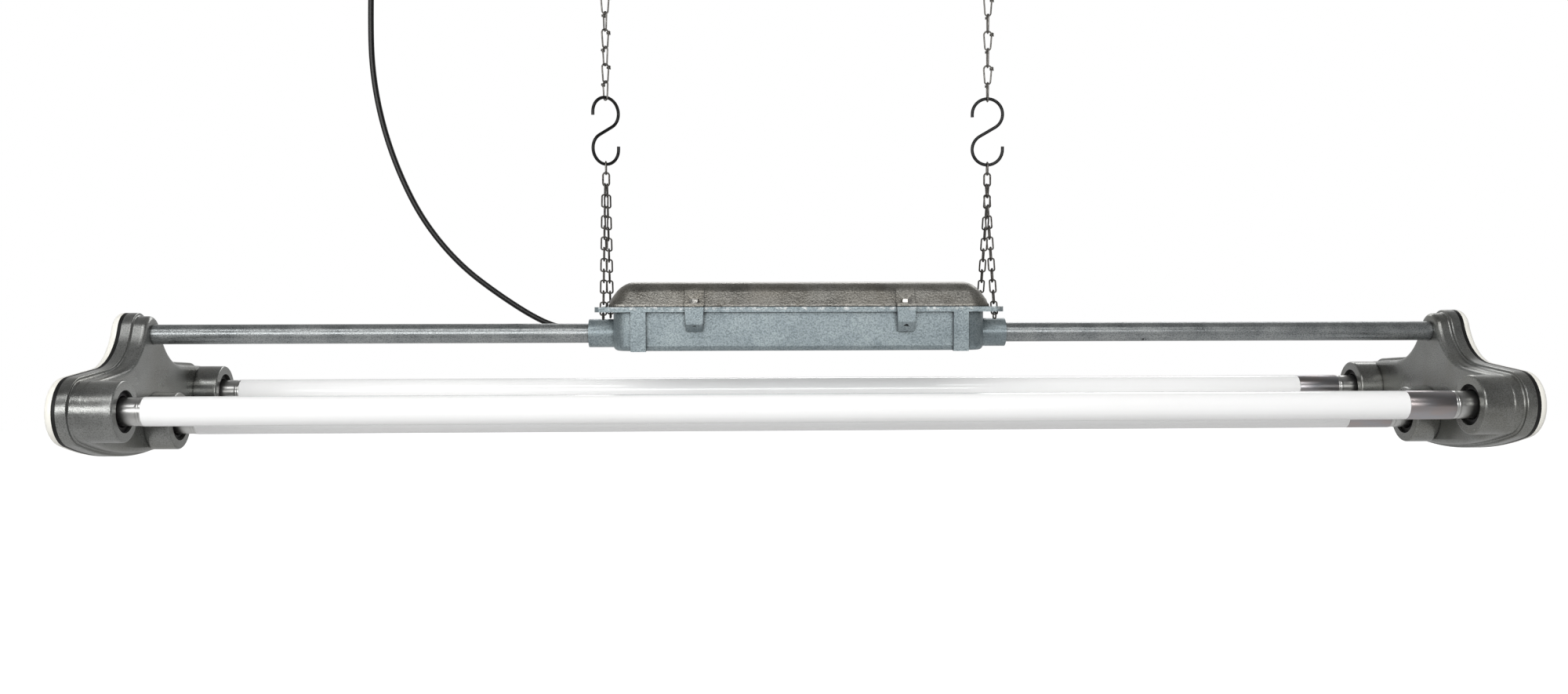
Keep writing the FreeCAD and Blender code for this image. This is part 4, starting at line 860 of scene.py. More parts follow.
# ---------------------------------------------------------------- chains
@dataclass(frozen=True)
class LinkShape:
    """Sizes of one kind of chain link, in millimetres."""

    length: float
    top_width: float
    bottom_width: float
    corner: float
    wire: float
    knotted: bool = False
    knot_drop: float = 4.6
    corner_steps: int = 8


class LinkTree:
    """Geometry Nodes tree that hangs one link on each point of a mesh."""

    SIZES = (
        "Length", "Top Width", "Bottom Width", "Corner", "Wire Radius", "Knot Radius", "Knot Wire", "Knot Drop",
    )

    def __init__(self) -> None:
        """Builds the tree."""
        tree = bpy.data.node_groups.new("chain_links", "GeometryNodeTree")
        self.tree = tree
        self.ids: dict[str, str] = {}
        tree.interface.new_socket("Geometry", in_out="OUTPUT", socket_type="NodeSocketGeometry")
        tree.interface.new_socket("Geometry", in_out="INPUT", socket_type="NodeSocketGeometry")
        kinds = [(name, "NodeSocketFloat") for name in self.SIZES]
        kinds += [("Corner Steps", "NodeSocketInt"), ("Knotted", "NodeSocketBool")]
        kinds += [("Finish", "NodeSocketMaterial")]
        for name, kind in kinds:
            self.ids[name] = tree.interface.new_socket(name, in_out="INPUT", socket_type=kind).identifier
        given = add_node(tree, "NodeGroupInput").outputs
        outline = add_node(
            tree,
            "GeometryNodeCurvePrimitiveQuadrilateral",
            {
                "Height": given["Length"],
                "Bottom Width": given["Bottom Width"],
                "Top Width": given["Top Width"],
                "Offset": 0.0,
            },
            mode="TRAPEZOID",
        )
        rounded = add_node(
            tree,
            "GeometryNodeFilletCurve",
            {
                "Curve": outline.outputs["Curve"],
                "Radius": given["Corner"],
                "Count": given["Corner Steps"],
                "Limit Radius": True,
            },
            mode="POLY",
        )
        section = add_node(
            tree, "GeometryNodeCurvePrimitiveCircle", {"Resolution": 10, "Radius": given["Wire Radius"]}
        )
        loop = add_node(
            tree,
            "GeometryNodeCurveToMesh",
            {"Curve": rounded.outputs["Curve"], "Profile Curve": section.outputs["Curve"]},
        )
        half = add_node(tree, "ShaderNodeMath", {0: given["Length"], 1: -0.5}, operation="MULTIPLY")
        hang = add_node(tree, "ShaderNodeCombineXYZ", {"Z": half.outputs[0]})
        upright = add_node(
            tree,
            "GeometryNodeTransform",
            {
                "Geometry": loop.outputs["Mesh"],
                "Translation": hang.outputs[0],
                "Rotation": (math.pi / 2, 0.0, 0.0),
            },
        )
        coil = add_node(
            tree,
            "GeometryNodeCurveSpiral",
            {
                "Resolution": 14,
                "Rotations": 2.3,
                "Start Radius": given["Knot Radius"],
                "End Radius": given["Knot Radius"],
                "Height": add_node(
                    tree, "ShaderNodeMath", {0: given["Knot Wire"], 1: 4.4}, operation="MULTIPLY"
                ).outputs[0],
            },
        )
        coil_section = add_node(
            tree, "GeometryNodeCurvePrimitiveCircle", {"Resolution": 8, "Radius": given["Knot Wire"]}
        )
        coil_mesh = add_node(
            tree,
            "GeometryNodeCurveToMesh",
            {
                "Curve": coil.outputs["Curve"],
                "Profile Curve": coil_section.outputs["Curve"],
                "Fill Caps": True,
            },
        )
        arm = add_node(tree, "ShaderNodeMath", {0: given["Top Width"], 1: 0.49}, operation="MULTIPLY")
        low = add_node(tree, "ShaderNodeMath", {0: given["Knot Drop"], 1: -1.0}, operation="MULTIPLY")
        spot = add_node(tree, "ShaderNodeCombineXYZ", {"X": arm.outputs[0], "Z": low.outputs[0]})
        tied = add_node(
            tree,
            "GeometryNodeTransform",
            {
                "Geometry": coil_mesh.outputs["Mesh"],
                "Translation": spot.outputs[0],
                "Rotation": (0.0, -0.08, 0.0),
            },
        )
        both = add_node(tree, "GeometryNodeJoinGeometry", {"Geometry": upright.outputs["Geometry"]})
        tree.links.new(tied.outputs["Geometry"], both.inputs["Geometry"])
        chosen = add_node(
            tree,
            "GeometryNodeSwitch",
            {
                "Switch": given["Knotted"],
                "False": upright.outputs["Geometry"],
                "True": both.outputs["Geometry"],
            },
            input_type="GEOMETRY",
        )
        turn = add_node(tree, "GeometryNodeInputNamedAttribute", {"Name": "turn"}, data_type="FLOAT_VECTOR")
        rotation = add_node(tree, "FunctionNodeEulerToRotation", {"Euler": turn.outputs["Attribute"]})
        hung = add_node(
            tree,
            "GeometryNodeInstanceOnPoints",
            {
                "Points": given["Geometry"],
                "Instance": chosen.outputs["Output"],
                "Rotation": rotation.outputs["Rotation"],
            },
        )
        real = add_node(tree, "GeometryNodeRealizeInstances", {"Geometry": hung.outputs["Instances"]})
        smooth = add_node(tree, "GeometryNodeSetShadeSmooth", {"Geometry": real.outputs["Geometry"]})
        dressed = add_node(
            tree,
            "GeometryNodeSetMaterial",
            {"Geometry": smooth.outputs["Geometry"], "Material": given["Finish"]},
        )
        add_node(tree, "NodeGroupOutput", {"Geometry": dressed.outputs["Geometry"]})

    def hang(
        self,
        name: str,
        spots: Sequence[Vector],
        turns: Sequence[Euler],
        shape: LinkShape,
        finish: bpy.types.Material,
    ) -> bpy.types.Mesh:
        """Makes links at given places.

        Args:
            name: the mesh's name.
            spots: centre of each link's top wire, in the frame.
            turns: each link's rotation.
            shape: the links' sizes.
            finish: their material.

        Returns:
            A plain mesh of all the links.
        """
        mesh = bpy.data.meshes.new(name)
        mesh.from_pydata([tuple(spot) for spot in spots], [], [])
        turn = mesh.attributes.new("turn", "FLOAT_VECTOR", "POINT")
        for item, euler in zip(turn.data, turns):
            item.vector = tuple(euler)
        carrier = bpy.data.objects.new(name, mesh)
        bpy.context.scene.collection.objects.link(carrier)
        modifier = carrier.modifiers.new("links", "NODES")
        modifier.node_group = self.tree
        values = {
            "Length": shape.length * MM,
            "Top Width": shape.top_width * MM,
            "Bottom Width": shape.bottom_width * MM,
            "Corner": shape.corner * MM,
            "Wire Radius": shape.wire / 2 * MM,
            "Knot Radius": 1.5 * MM,
            "Knot Wire": 0.62 * MM,
            "Knot Drop": shape.knot_drop * MM,
            "Corner Steps": shape.corner_steps,
            "Knotted": shape.knotted,
            "Finish": finish,
        }
        for key, value in values.items():
            modifier[self.ids[key]] = value
        return settled(carrier)


@dataclass
class Suspension:
    """Everything that carries the lamp: knotted chains, S-hooks, wire links and bridle chains."""

    links: LinkTree
    finishes: Finishes
    half_span: float = 183.1
    gap: float = 0.1
    hook_gap: float = 0.25
    knot_wire: float = 1.6
    knot_count: int = 8
    hook_base: float = 159.6
    hook_height: float = 66.5
    hook_wire: float = 3.1
    hook_bend: float = 14.7
    hook_tail: float = 3.5
    left_twist: float = 40.0
    twist_links: int = 3
    wire_link: LinkShape = LinkShape(12.3, 7.2, 7.2, 3.6, 1.5)
    apex_link: LinkShape = LinkShape(12.8, 6.0, 6.0, 3.0, 1.8)
    bridle_wire: float = 1.6
    bridle_count: int = 12
    bridle_step: float = 0.95
    ear_side: float = 39.0
    ear_under: float = 20.5

    @property
    def hook_top(self) -> float:
        """Underside of the S-hook's upper bend."""
        return self.hook_base + self.hook_height - self.hook_wire

    @property
    def knot_length(self) -> float:
        """Length of a knotted link between its wires' centres."""
        join = self.knot_wire + self.gap
        bottom = self.hook_top - self.knot_wire / 2 - self.hook_gap
        return (DROP + self.knot_wire / 2 - bottom - join) / self.knot_count + join

    def build(self) -> None:
        """Makes all the pieces."""
        self.knotted_chains()
        for side in Side:
            self.s_hook(side)
            self.small_links(side)
            self.bridles(side)

    def knotted_chains(self) -> None:
        """Makes the knotted chains, split where they swing."""
        shape = LinkShape(self.knot_length, 8.0, 5.2, 4.0, self.knot_wire, knotted=True)
        pitch = shape.length - self.knot_wire - self.gap
        groups = {
            "ceiling_links": ("ceiling", Side, (1,)),
            "swing_links": ("swing", Side, (2,)),
            "knotted_chain_left": ("left_hanger", (Side.LEFT,), range(3, self.knot_count + 1)),
            "knotted_chain_right": ("right_hanger", (Side.RIGHT,), range(3, self.knot_count + 1)),
        }
        for node, (body, sides, numbers) in groups.items():
            spots, turns = [], []
            for side in sides:
                for number in numbers:
                    steps = min(max(number - 2, 0), self.twist_links) if side is Side.LEFT else 0
                    turn = self.left_twist * steps / self.twist_links + (0 if number % 2 else 90)
                    height = DROP + self.knot_wire / 2 - (number - 1) * pitch
                    spots.append(place(side.value * self.half_span, 0, height))
                    turns.append(Euler((0, 0, math.radians(turn))))
            mesh = self.links.hang(node, spots, turns, shape, self.finishes.chain_wire)
            show(f"{node}_wire", mesh, self.finishes.chain_wire, body, [node])

    def s_hook(self, side: Side) -> None:
        """Makes one S-hook.

        Args:
            side: the end it hangs at.
        """
        bend = self.hook_bend
        low = self.hook_base + self.hook_wire / 2 + bend
        high = self.hook_base + self.hook_height - self.hook_wire / 2 - bend
        lean = math.asin(2 * bend / (high - low))
        flat = [(-bend, high - self.hook_tail + 0.5), (-bend, high)]
        steps = 28
        for step in range(1, steps + 1):
            angle = math.pi - (math.pi + lean) * step / steps
            flat.append((bend * math.cos(angle), high + bend * math.sin(angle)))
        for step in range(steps + 1):
            angle = math.pi - lean + (math.pi + lean) * step / steps
            flat.append((bend * math.cos(angle), low + bend * math.sin(angle)))
        flat.append((bend, low + self.hook_tail - 0.5))
        twist = math.radians(self.left_twist if side is Side.LEFT else 0)
        points = [
            place(side.value * self.half_span + x * math.cos(twist), x * math.sin(twist), z) for x, z in flat
        ]
        name = f"s_hook_{side.word}"
        mesh = swept_wire(name, points, self.hook_wire / 2)
        show(f"{name}_wire", mesh, self.finishes.hook_black, f"{side.word}_hanger", [name])

    def small_links(self, side: Side) -> None:
        """Makes the wire link and the apex link of one end.

        Args:
            side: the end they hang at.
        """
        x = side.value * self.half_span
        top = self.hook_base + self.hook_wire + self.wire_link.wire / 2 + self.hook_gap
        quarter = Euler((0, 0, math.pi / 2))
        mesh = self.links.hang(
            f"wire_link_{side.word}", [place(x, 0, top)], [quarter], self.wire_link, self.finishes.chain_wire
        )
        show(
            f"wire_link_{side.word}_wire",
            mesh,
            self.finishes.chain_wire,
            f"{side.word}_wire_link",
            [f"wire_link_{side.word}"],
        )
        apex = self.apex_height()
        mesh = self.links.hang(
            f"apex_link_{side.word}", [place(x, 0, apex)], [Euler()], self.apex_link, self.finishes.bridle_wire
        )
        show(
            f"apex_link_{side.word}_wire", mesh, self.finishes.bridle_wire, "lamp",
            [f"apex_link_{side.word}"],
        )

    def apex_height(self) -> float:
        """Height of the centre of the apex link's upper wire."""
        top = self.hook_base + self.hook_wire + self.wire_link.wire / 2 + self.hook_gap
        return top - self.wire_link.length + (self.wire_link.wire + self.apex_link.wire) / 2 + self.gap

    def bridles(self, side: Side) -> None:
        """Makes the two bridle chains of one end, which reach down to the links that keep them in the ears.

        Args:
            side: the end they hang at.
        """
        join = self.bridle_wire + self.gap
        start_height = (
            self.apex_height() - self.apex_link.length + (self.apex_link.wire + self.bridle_wire) / 2 + self.gap
        )
        keeper_height = self.ear_under - self.bridle_wire / 2 - self.gap
        for word, depth in (("front", -1), ("rear", 1)):
            start = Vector((side.value * self.half_span + depth * self.bridle_step, 0, start_height))
            finish = Vector((side.value * self.half_span, depth * self.ear_side, keeper_height - join))
            length = ((finish - start).length - join) / self.bridle_count + join
            shape = LinkShape(length, 5.6, 5.6, 1.7, self.bridle_wire, corner_steps=3)
            along = (finish - start).normalized()
            flat = (Vector((1, 0, 0)) - along * along.x).normalized()
            edge_on = along.cross(flat)
            spots, turns = [], []
            for number in range(self.bridle_count):
                top = start + along * (number * (length - join))
                spots.append(place(*top))
                across = flat if number % 2 else edge_on
                turns.append(Matrix((across, across.cross(along), -along)).transposed().to_euler())
            node = f"bridle_chain_{side.word}_{word}"
            mesh = self.links.hang(node, spots, turns, shape, self.finishes.bridle_wire)
            show(f"{node}_wire", mesh, self.finishes.bridle_wire, "lamp", [node])


# ---------------------------------------------------------------- supply cable
@dataclass
class SupplyCable:
    """Black supply cable that hangs in a curve from the ceiling to the gear box."""

    finishes: Finishes
    diameter: float = 5.5
    plane: float = 24.0
    length: float = 450.5
    route: tuple[tuple[float, float], ...] = (
        (198.0, 2.5),
        (221.2, 2.5),
        (248.8, 10.5),
        (290.7, 37.4),
        (328.2, 66.9),
        (360.4, 106.3),
        (382.6, 149.9),
        (399.0, 198.0),
        (408.3, 248.0),
        (409.8, 298.5),
        (408.0, 348.5),
    )

    def build(self) -> None:
        """Makes the cable in place of the CAD cable."""
        points = [place(-left, self.plane, height) for left, height in self.route]
        curve = bpy.data.curves.new("supply_cable", "CURVE")
        curve.dimensions = "3D"
        curve.bevel_depth = self.diameter / 2 * MM
        curve.bevel_resolution = 6
        curve.resolution_u = 16
        curve.use_fill_caps = True
        spline = curve.splines.new("NURBS")
        spline.points.add(len(points) - 1)
        for target, point in zip(spline.points, points):
            target.co = (*point, 1.0)
        spline.order_u = 3
        spline.use_endpoint_u = True
        curve.materials.append(self.finishes.sheath)
        cable = bpy.data.objects.new("supply_cable", curve)
        bpy.context.scene.collection.objects.link(cable)
        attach(cable, "lamp")
        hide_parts("power_cable")
        log.info("supply_cable: %d points", len(points))


# ---------------------------------------------------------------- fasteners
class PatternTree:
    """Geometry Nodes tree that sets one prototype on each point of a mesh."""

    def __init__(self) -> None:
        """Builds the tree."""
        tree = bpy.data.node_groups.new("set_on_points", "GeometryNodeTree")
        self.tree = tree
        tree.interface.new_socket("Geometry", in_out="OUTPUT", socket_type="NodeSocketGeometry")
        tree.interface.new_socket("Geometry", in_out="INPUT", socket_type="NodeSocketGeometry")
        self.ids = {
            name: tree.interface.new_socket(name, in_out="INPUT", socket_type=kind).identifier
            for name, kind in (("Prototype", "NodeSocketObject"), ("Finish", "NodeSocketMaterial"))
        }
        given = add_node(tree, "NodeGroupInput").outputs
        prototype = add_node(tree, "GeometryNodeObjectInfo", {"Object": given["Prototype"]})
        turn = add_node(tree, "GeometryNodeInputNamedAttribute", {"Name": "turn"}, data_type="FLOAT_VECTOR")
        rotation = add_node(tree, "FunctionNodeEulerToRotation", {"Euler": turn.outputs["Attribute"]})
        spread = add_node(
            tree,
            "GeometryNodeInstanceOnPoints",
            {
                "Points": given["Geometry"],
                "Instance": prototype.outputs["Geometry"],
                "Rotation": rotation.outputs["Rotation"],
            },
        )
        real = add_node(tree, "GeometryNodeRealizeInstances", {"Geometry": spread.outputs["Instances"]})
        dressed = add_node(
            tree, "GeometryNodeSetMaterial", {"Geometry": real.outputs["Geometry"], "Material": given["Finish"]}
        )
        add_node(tree, "NodeGroupOutput", {"Geometry": dressed.outputs["Geometry"]})

    def spread(
        self,
        name: str,
        prototype: bpy.types.Mesh,
        spots: Sequence[Vector],
        turns: Sequence[Euler],
        finish: bpy.types.Material,
    ) -> bpy.types.Mesh:
        """Sets copies of a prototype, which is used up.

        Args:
            name: the new mesh's name.
            prototype: the mesh to repeat, standing on the origin.
            spots: where each copy stands, in the frame.
            turns: each copy's rotation.
            finish: their material.

        Returns:
            A plain mesh of all copies.
        """
        model = bpy.data.objects.new(f"{name}_prototype", prototype)
        bpy.context.scene.collection.objects.link(model)
        mesh = bpy.data.meshes.new(name)
        mesh.from_pydata([tuple(spot) for spot in spots], [], [])
        turn = mesh.attributes.new("turn", "FLOAT_VECTOR", "POINT")
        for item, euler in zip(turn.data, turns):
            item.vector = tuple(euler)
        carrier = bpy.data.objects.new(name, mesh)
        bpy.context.scene.collection.objects.link(carrier)
        modifier = carrier.modifiers.new("pattern", "NODES")
        modifier.node_group = self.tree
        modifier[self.ids["Prototype"]] = model
        modifier[self.ids["Finish"]] = finish
        result = settled(carrier)
        bpy.data.objects.remove(model)
        bpy.data.meshes.remove(prototype)
        return result


@dataclass(frozen=True)
class ScrewShape:
    """Sizes of one kind of screw, in millimetres, counted from its seat."""

    head_radius: float
    head_height: float
    shank_radius: float
    shank_length: float
    pitch: float = 0.8
    slot_width: float = 1.1
    slot_depth: float = 1.3


@dataclass
class Fasteners:
    """Bolts and screws: hexagon bolts on the lid, slotted screws on the end covers and inside the box."""

    pattern: PatternTree
    finishes: Finishes
    lid_seat: float = 28.6
    lid_spots: tuple[float, float] = (98.5, 48.6)
    washer: tuple[float, float] = (5.0, 0.8)
    hexagon: tuple[float, float] = (8.0, 3.4)
    lid_screw: ScrewShape = ScrewShape(0.0, 0.0, 2.45, 16.0)
    cover_seat: float = 648.0
    lamp_shift: float = 5.0
    cover_spots: tuple[tuple[float, float], ...] = (
        (0.0, -27.0),
        (64.0, -49.0),
        (-64.0, -49.0),
        (62.0, -90.0),
        (-62.0, -90.0),
    )
    cover_screw: ScrewShape = ScrewShape(4.2, 2.6, 1.65, 20.5, pitch=0.7)
    tray_spots: tuple[float, float] = (120.0, 25.0)
    tray_seat: float = -5.3
    tray_screw: ScrewShape = ScrewShape(3.8, 1.5, 0.0, 0.0, slot_depth=0.8)
    terminal_spots: tuple[float, float, float, int, float] = (-90.5, 10.0, 4.5, 5, 1.5)

    def build(self) -> None:
        """Makes the fasteners."""
        steel = self.finishes.bolt_steel
        spots = self.four_corners(self.lid_spots, self.lid_seat)
        turns = [Euler((0, 0, turn)) for turn in (0.35, 1.2, 0.1, 0.75)]
        bolts = self.pattern.spread("lid_bolts_set", self.hexagon_bolt(), spots, turns, steel)
        show("lid_bolts_set", bolts, steel, "lid", ["lid_bolts"])
        for side in Side:
            x = side.value * self.cover_seat + self.lamp_shift
            name = f"cover_screws_{side.word}"
            spots = [place(x, y, z) for y, z in self.cover_spots]
            turns = [
                Euler((0, side.value * math.pi / 2, 0)).to_matrix() @ Euler((0, 0, 0.9 * number)).to_matrix()
                for number in range(len(spots))
            ]
            angles = [turn.to_euler() for turn in turns]
            screw = self.slotted_screw(self.cover_screw)
            screws = self.pattern.spread(f"{name}_set", screw, spots, angles, steel)
            show(f"{name}_set", screws, steel, "lamp", [name])
        spots = self.four_corners(self.tray_spots, self.tray_seat)
        turns = [Euler((0, 0, turn)) for turn in (0.2, 0.9, 2.1, 1.4)]
        screw = self.slotted_screw(self.tray_screw)
        screws = self.pattern.spread("tray_screws_set", screw, spots, turns, steel)
        show("tray_screws_set", screws, steel, "lamp", ["tray_screws"])
        first, step, aside, ways, height = self.terminal_spots
        spots = [place(first + way * step, b * aside, height) for way in range(ways) for b in (1, -1)]
        turns = [Euler((0, 0, 0.7 * number)) for number in range(len(spots))]
        small = self.slotted_screw(ScrewShape(2.0, 1.2, 0.0, 0.0, slot_width=0.5, slot_depth=0.6))
        brass = self.finishes.brass
        screws = self.pattern.spread("terminal_screws", small, spots, turns, brass)
        show("terminal_screws", screws, brass, "lamp")

    def four_corners(self, spot: tuple[float, float], height: float) -> list[Vector]:
        """The four mirrored places of a fastener.

        Args:
            spot: its distances from the middle along and across the light, mm.
            height: height of its seat, mm.

        Returns:
            The places, in the frame.
        """
        return [place(a * spot[0], b * spot[1], height) for a in (1, -1) for b in (1, -1)]

    def hexagon_bolt(self) -> bpy.types.Mesh:
        """The lid bolt with its washer, standing on its seat."""
        reach, thick = self.washer
        washer = turned_mesh(
            "washer",
            [
                (0, 2.6),
                (0, reach - 0.15),
                (0.15, reach),
                (thick - 0.25, reach),
                (thick, reach - 0.3),
                (thick, 2.6),
            ],
            steps=48,
            axis=(0, 0, 1),
        )
        across, height = self.hexagon
        head = prism_mesh("hexagon", across, thick, thick + height, 0.45)
        return joined("lid_bolt", [washer, head, self.thread(self.lid_screw, thick)])

    def slotted_screw(self, shape: ScrewShape) -> bpy.types.Mesh:
        """A screw with a low domed head and a slot.

        Args:
            shape: its sizes.

        Returns:
            The screw, standing on its seat.
        """
        radius, height = shape.head_radius, shape.head_height
        dome = [(0.0, 0.0), (0.0, radius - 0.1), (0.15, radius)]
        for step in range(1, 7):
            turn = math.pi / 2 * step / 6
            dome.append((height * (0.35 + 0.65 * math.sin(turn)), radius * (0.55 + 0.45 * math.cos(turn))))
        dome.append((height, 0.0))
        head = turned_mesh("screw_head", dome, steps=40, axis=(0, 0, 1))
        bm = bmesh.new()
        size = (3 * radius, shape.slot_width, 2 * shape.slot_depth)
        bmesh.ops.create_cube(bm, size=1.0, matrix=Matrix.Diagonal((*(Vector(size) * MM), 1.0)))
        bmesh.ops.translate(bm, verts=bm.verts, vec=(0, 0, height * MM))
        slot = bpy.data.meshes.new("slot")
        bm.to_mesh(slot)
        bm.free()
        head = carved(head, slot)
        return joined("screw", [head, self.thread(shape, 0.05)]) if shape.shank_length else head

    def thread(self, shape: ScrewShape, start: float) -> bpy.types.Mesh:
        """A threaded shank below the seat.

        Args:
            shape: the screw's sizes.
            start: height of its upper end, mm.

        Returns:
            The shank, whose thread is a helix.
        """
        depth = 0.25 * shape.pitch

        def helix(along: float, radius: float, share: float) -> float:
            if along > -1.0 or along < -shape.shank_length + 0.4:
                return radius - (depth if along < -1.0 else 0.0)
            phase = (along / shape.pitch - share) % 1.0
            return radius - depth * abs(2 * phase - 1)

        count = int(shape.shank_length / shape.pitch * 4)
        levels = [-shape.shank_length + shape.shank_length * step / count for step in range(count)]
        profile = [(-shape.shank_length, 0.0)] + [(level, shape.shank_radius) for level in levels]
        profile += [(start, shape.shank_radius), (start, 0.0)]
        return turned_mesh("thread", profile, steps=20, axis=(0, 0, 1), relief=helix)


# ---------------------------------------------------------------- tubes
@dataclass
class TubeLamp:
    """One straight tube: opal glass, metallised end and two pinned caps."""

    finishes: Finishes
    lamp: Lamp
    shift: float = 5.0
    half_length: float = 600.0
    cap_length: float = 25.0
    sleeve_length: float = 42.0
    radius: float = 12.9
    wall: float = 1.2
    cap_radius: float = 12.4
    rib_radius: float = 12.74
    pin_radius: float = 1.18
    pin_length: float = 7.0
    pin_half_spacing: float = 6.35

    def build(self) -> None:
        """Makes the tube's pieces."""
        word = self.lamp.word
        body = f"{word}_tube"
        centre = (self.shift, *self.lamp.value)
        root = self.half_length - self.cap_length
        foil = root - self.sleeve_length
        inner = self.radius - self.wall
        edge = 0.5

        def pipe(start: float, end: float) -> list[tuple[float, float]]:
            return [
                (start, inner),
                (end, inner),
                (end, self.radius - edge),
                (end - 0.15, self.radius - 0.12),
                (end - edge, self.radius),
                (start + edge, self.radius),
                (start + 0.15, self.radius - 0.12),
                (start, self.radius - edge),
            ]

        glass = turned_mesh(f"{word}_opal", pipe(-root, foil), centre, steps=96)
        show(f"tube_{word}_glass", glass, self.finishes.opal, body, [f"tube_{word}"])
        film = turned_mesh(f"{word}_film", pipe(foil, root), centre, steps=96)
        show(f"tube_{word}_film", film, self.finishes.foil, body, [f"tube_sleeve_{word}"])
        caps = joined(f"{word}_caps", [part for side in Side for part in self.cap(side, centre)])
        show(f"tube_{word}_caps", caps, self.finishes.cap, body, [f"tube_caps_{word}"])

    def cap(self, side: Side, centre: Point) -> list[bpy.types.Mesh]:
        """One end cap with its crimped rib, rounded end and pins.

        Args:
            side: the end it closes.
            centre: middle of the tube, mm.

        Returns:
            Its meshes.
        """
        root = self.half_length - self.cap_length
        far = self.half_length
        outer, rib = self.cap_radius, self.rib_radius
        profile = [
            (root, 11.8),
            (root, rib - 0.2),
            (root + 0.3, rib),
            (root + 1.1, rib),
            (root + 1.5, outer - 0.15),
            (root + 2.1, outer - 0.2),
            (root + 2.6, outer + 0.12),
            (root + 3.2, outer + 0.12),
            (root + 3.7, outer - 0.05),
            (root + 5.2, outer),
        ]
        for step in range(9):
            turn = math.pi / 2 * step / 8
            profile.append((far - 3.0 + 3.0 * math.sin(turn), outer - 3.0 + 3.0 * math.cos(turn)))
        profile += [(far, 7.6), (far - 0.6, 7.2), (far - 0.6, 0.0), (far - 1.6, 0.0), (far - 1.6, 11.8)]
        marks = 54

        def crimp(along: float, radius: float, share: float) -> float:
            if root + 0.2 < along < root + 1.2:
                return radius - 0.12 * (0.5 + 0.5 * math.cos(2 * math.pi * marks * share + 3 * along))
            return radius

        outline = [(side.value * along, reach) for along, reach in profile]
        parts = [turned_mesh("cap", outline, centre, steps=162, relief=crimp)]
        for sign in (1, -1):
            spot = (centre[0], centre[1], centre[2] + sign * self.pin_half_spacing)
            start, end = side.value * (far - 1.0), side.value * (far + self.pin_length)
            tip = side.value * (far + self.pin_length - 0.5)
            blunt = self.pin_radius - 0.45
            pin = [(start, 0), (start, self.pin_radius), (tip, self.pin_radius), (end, blunt), (end, 0)]
            parts.append(turned_mesh("pin", pin, spot, steps=24))
        return parts


@dataclass
class GlandNut:
    """Fluted nut of the cable gland, with a tapered tip round the cable."""

    finishes: Finishes
    spot: tuple[float, float] = (24.0, 2.5)
    start: float = -186.0
    grip_length: float = 9.0
    taper_length: float = 9.0
    radius: float = 8.0
    tip_radius: float = 4.6
    bore: float = 2.85
    flutes: int = 14
    flute_depth: float = 0.6

    def build(self) -> None:
        """Makes the nut."""
        grip = self.start - self.grip_length
        tip = grip - self.taper_length

        def fluted(along: float, radius: float, share: float) -> float:
            if grip + 0.7 < along < self.start - 0.7 and radius > self.tip_radius:
                wave = abs(math.sin(math.pi * self.flutes * share))
                return radius - self.flute_depth * (1 - wave) ** 2
            return radius

        profile = [(self.start, self.bore), (self.start, self.radius - 0.4), (self.start - 0.4, self.radius)]
        profile += [(self.start - 0.8 - 1.2 * step, self.radius) for step in range(7)]
        profile += [(grip + 0.4, self.radius), (grip, self.radius - 0.3)]
        for step in range(1, 9):
            share = step / 8
            narrowing = (self.radius - self.tip_radius) * share**1.25
            profile.append((grip - self.taper_length * share, self.radius - narrowing))
        profile += [(tip, self.bore)]
        nut = turned_mesh("gland_grip", profile, (0, *self.spot), steps=168, relief=fluted)
        show("gland_grip", nut, self.finishes.gland, "lamp", ["gland_nut"])


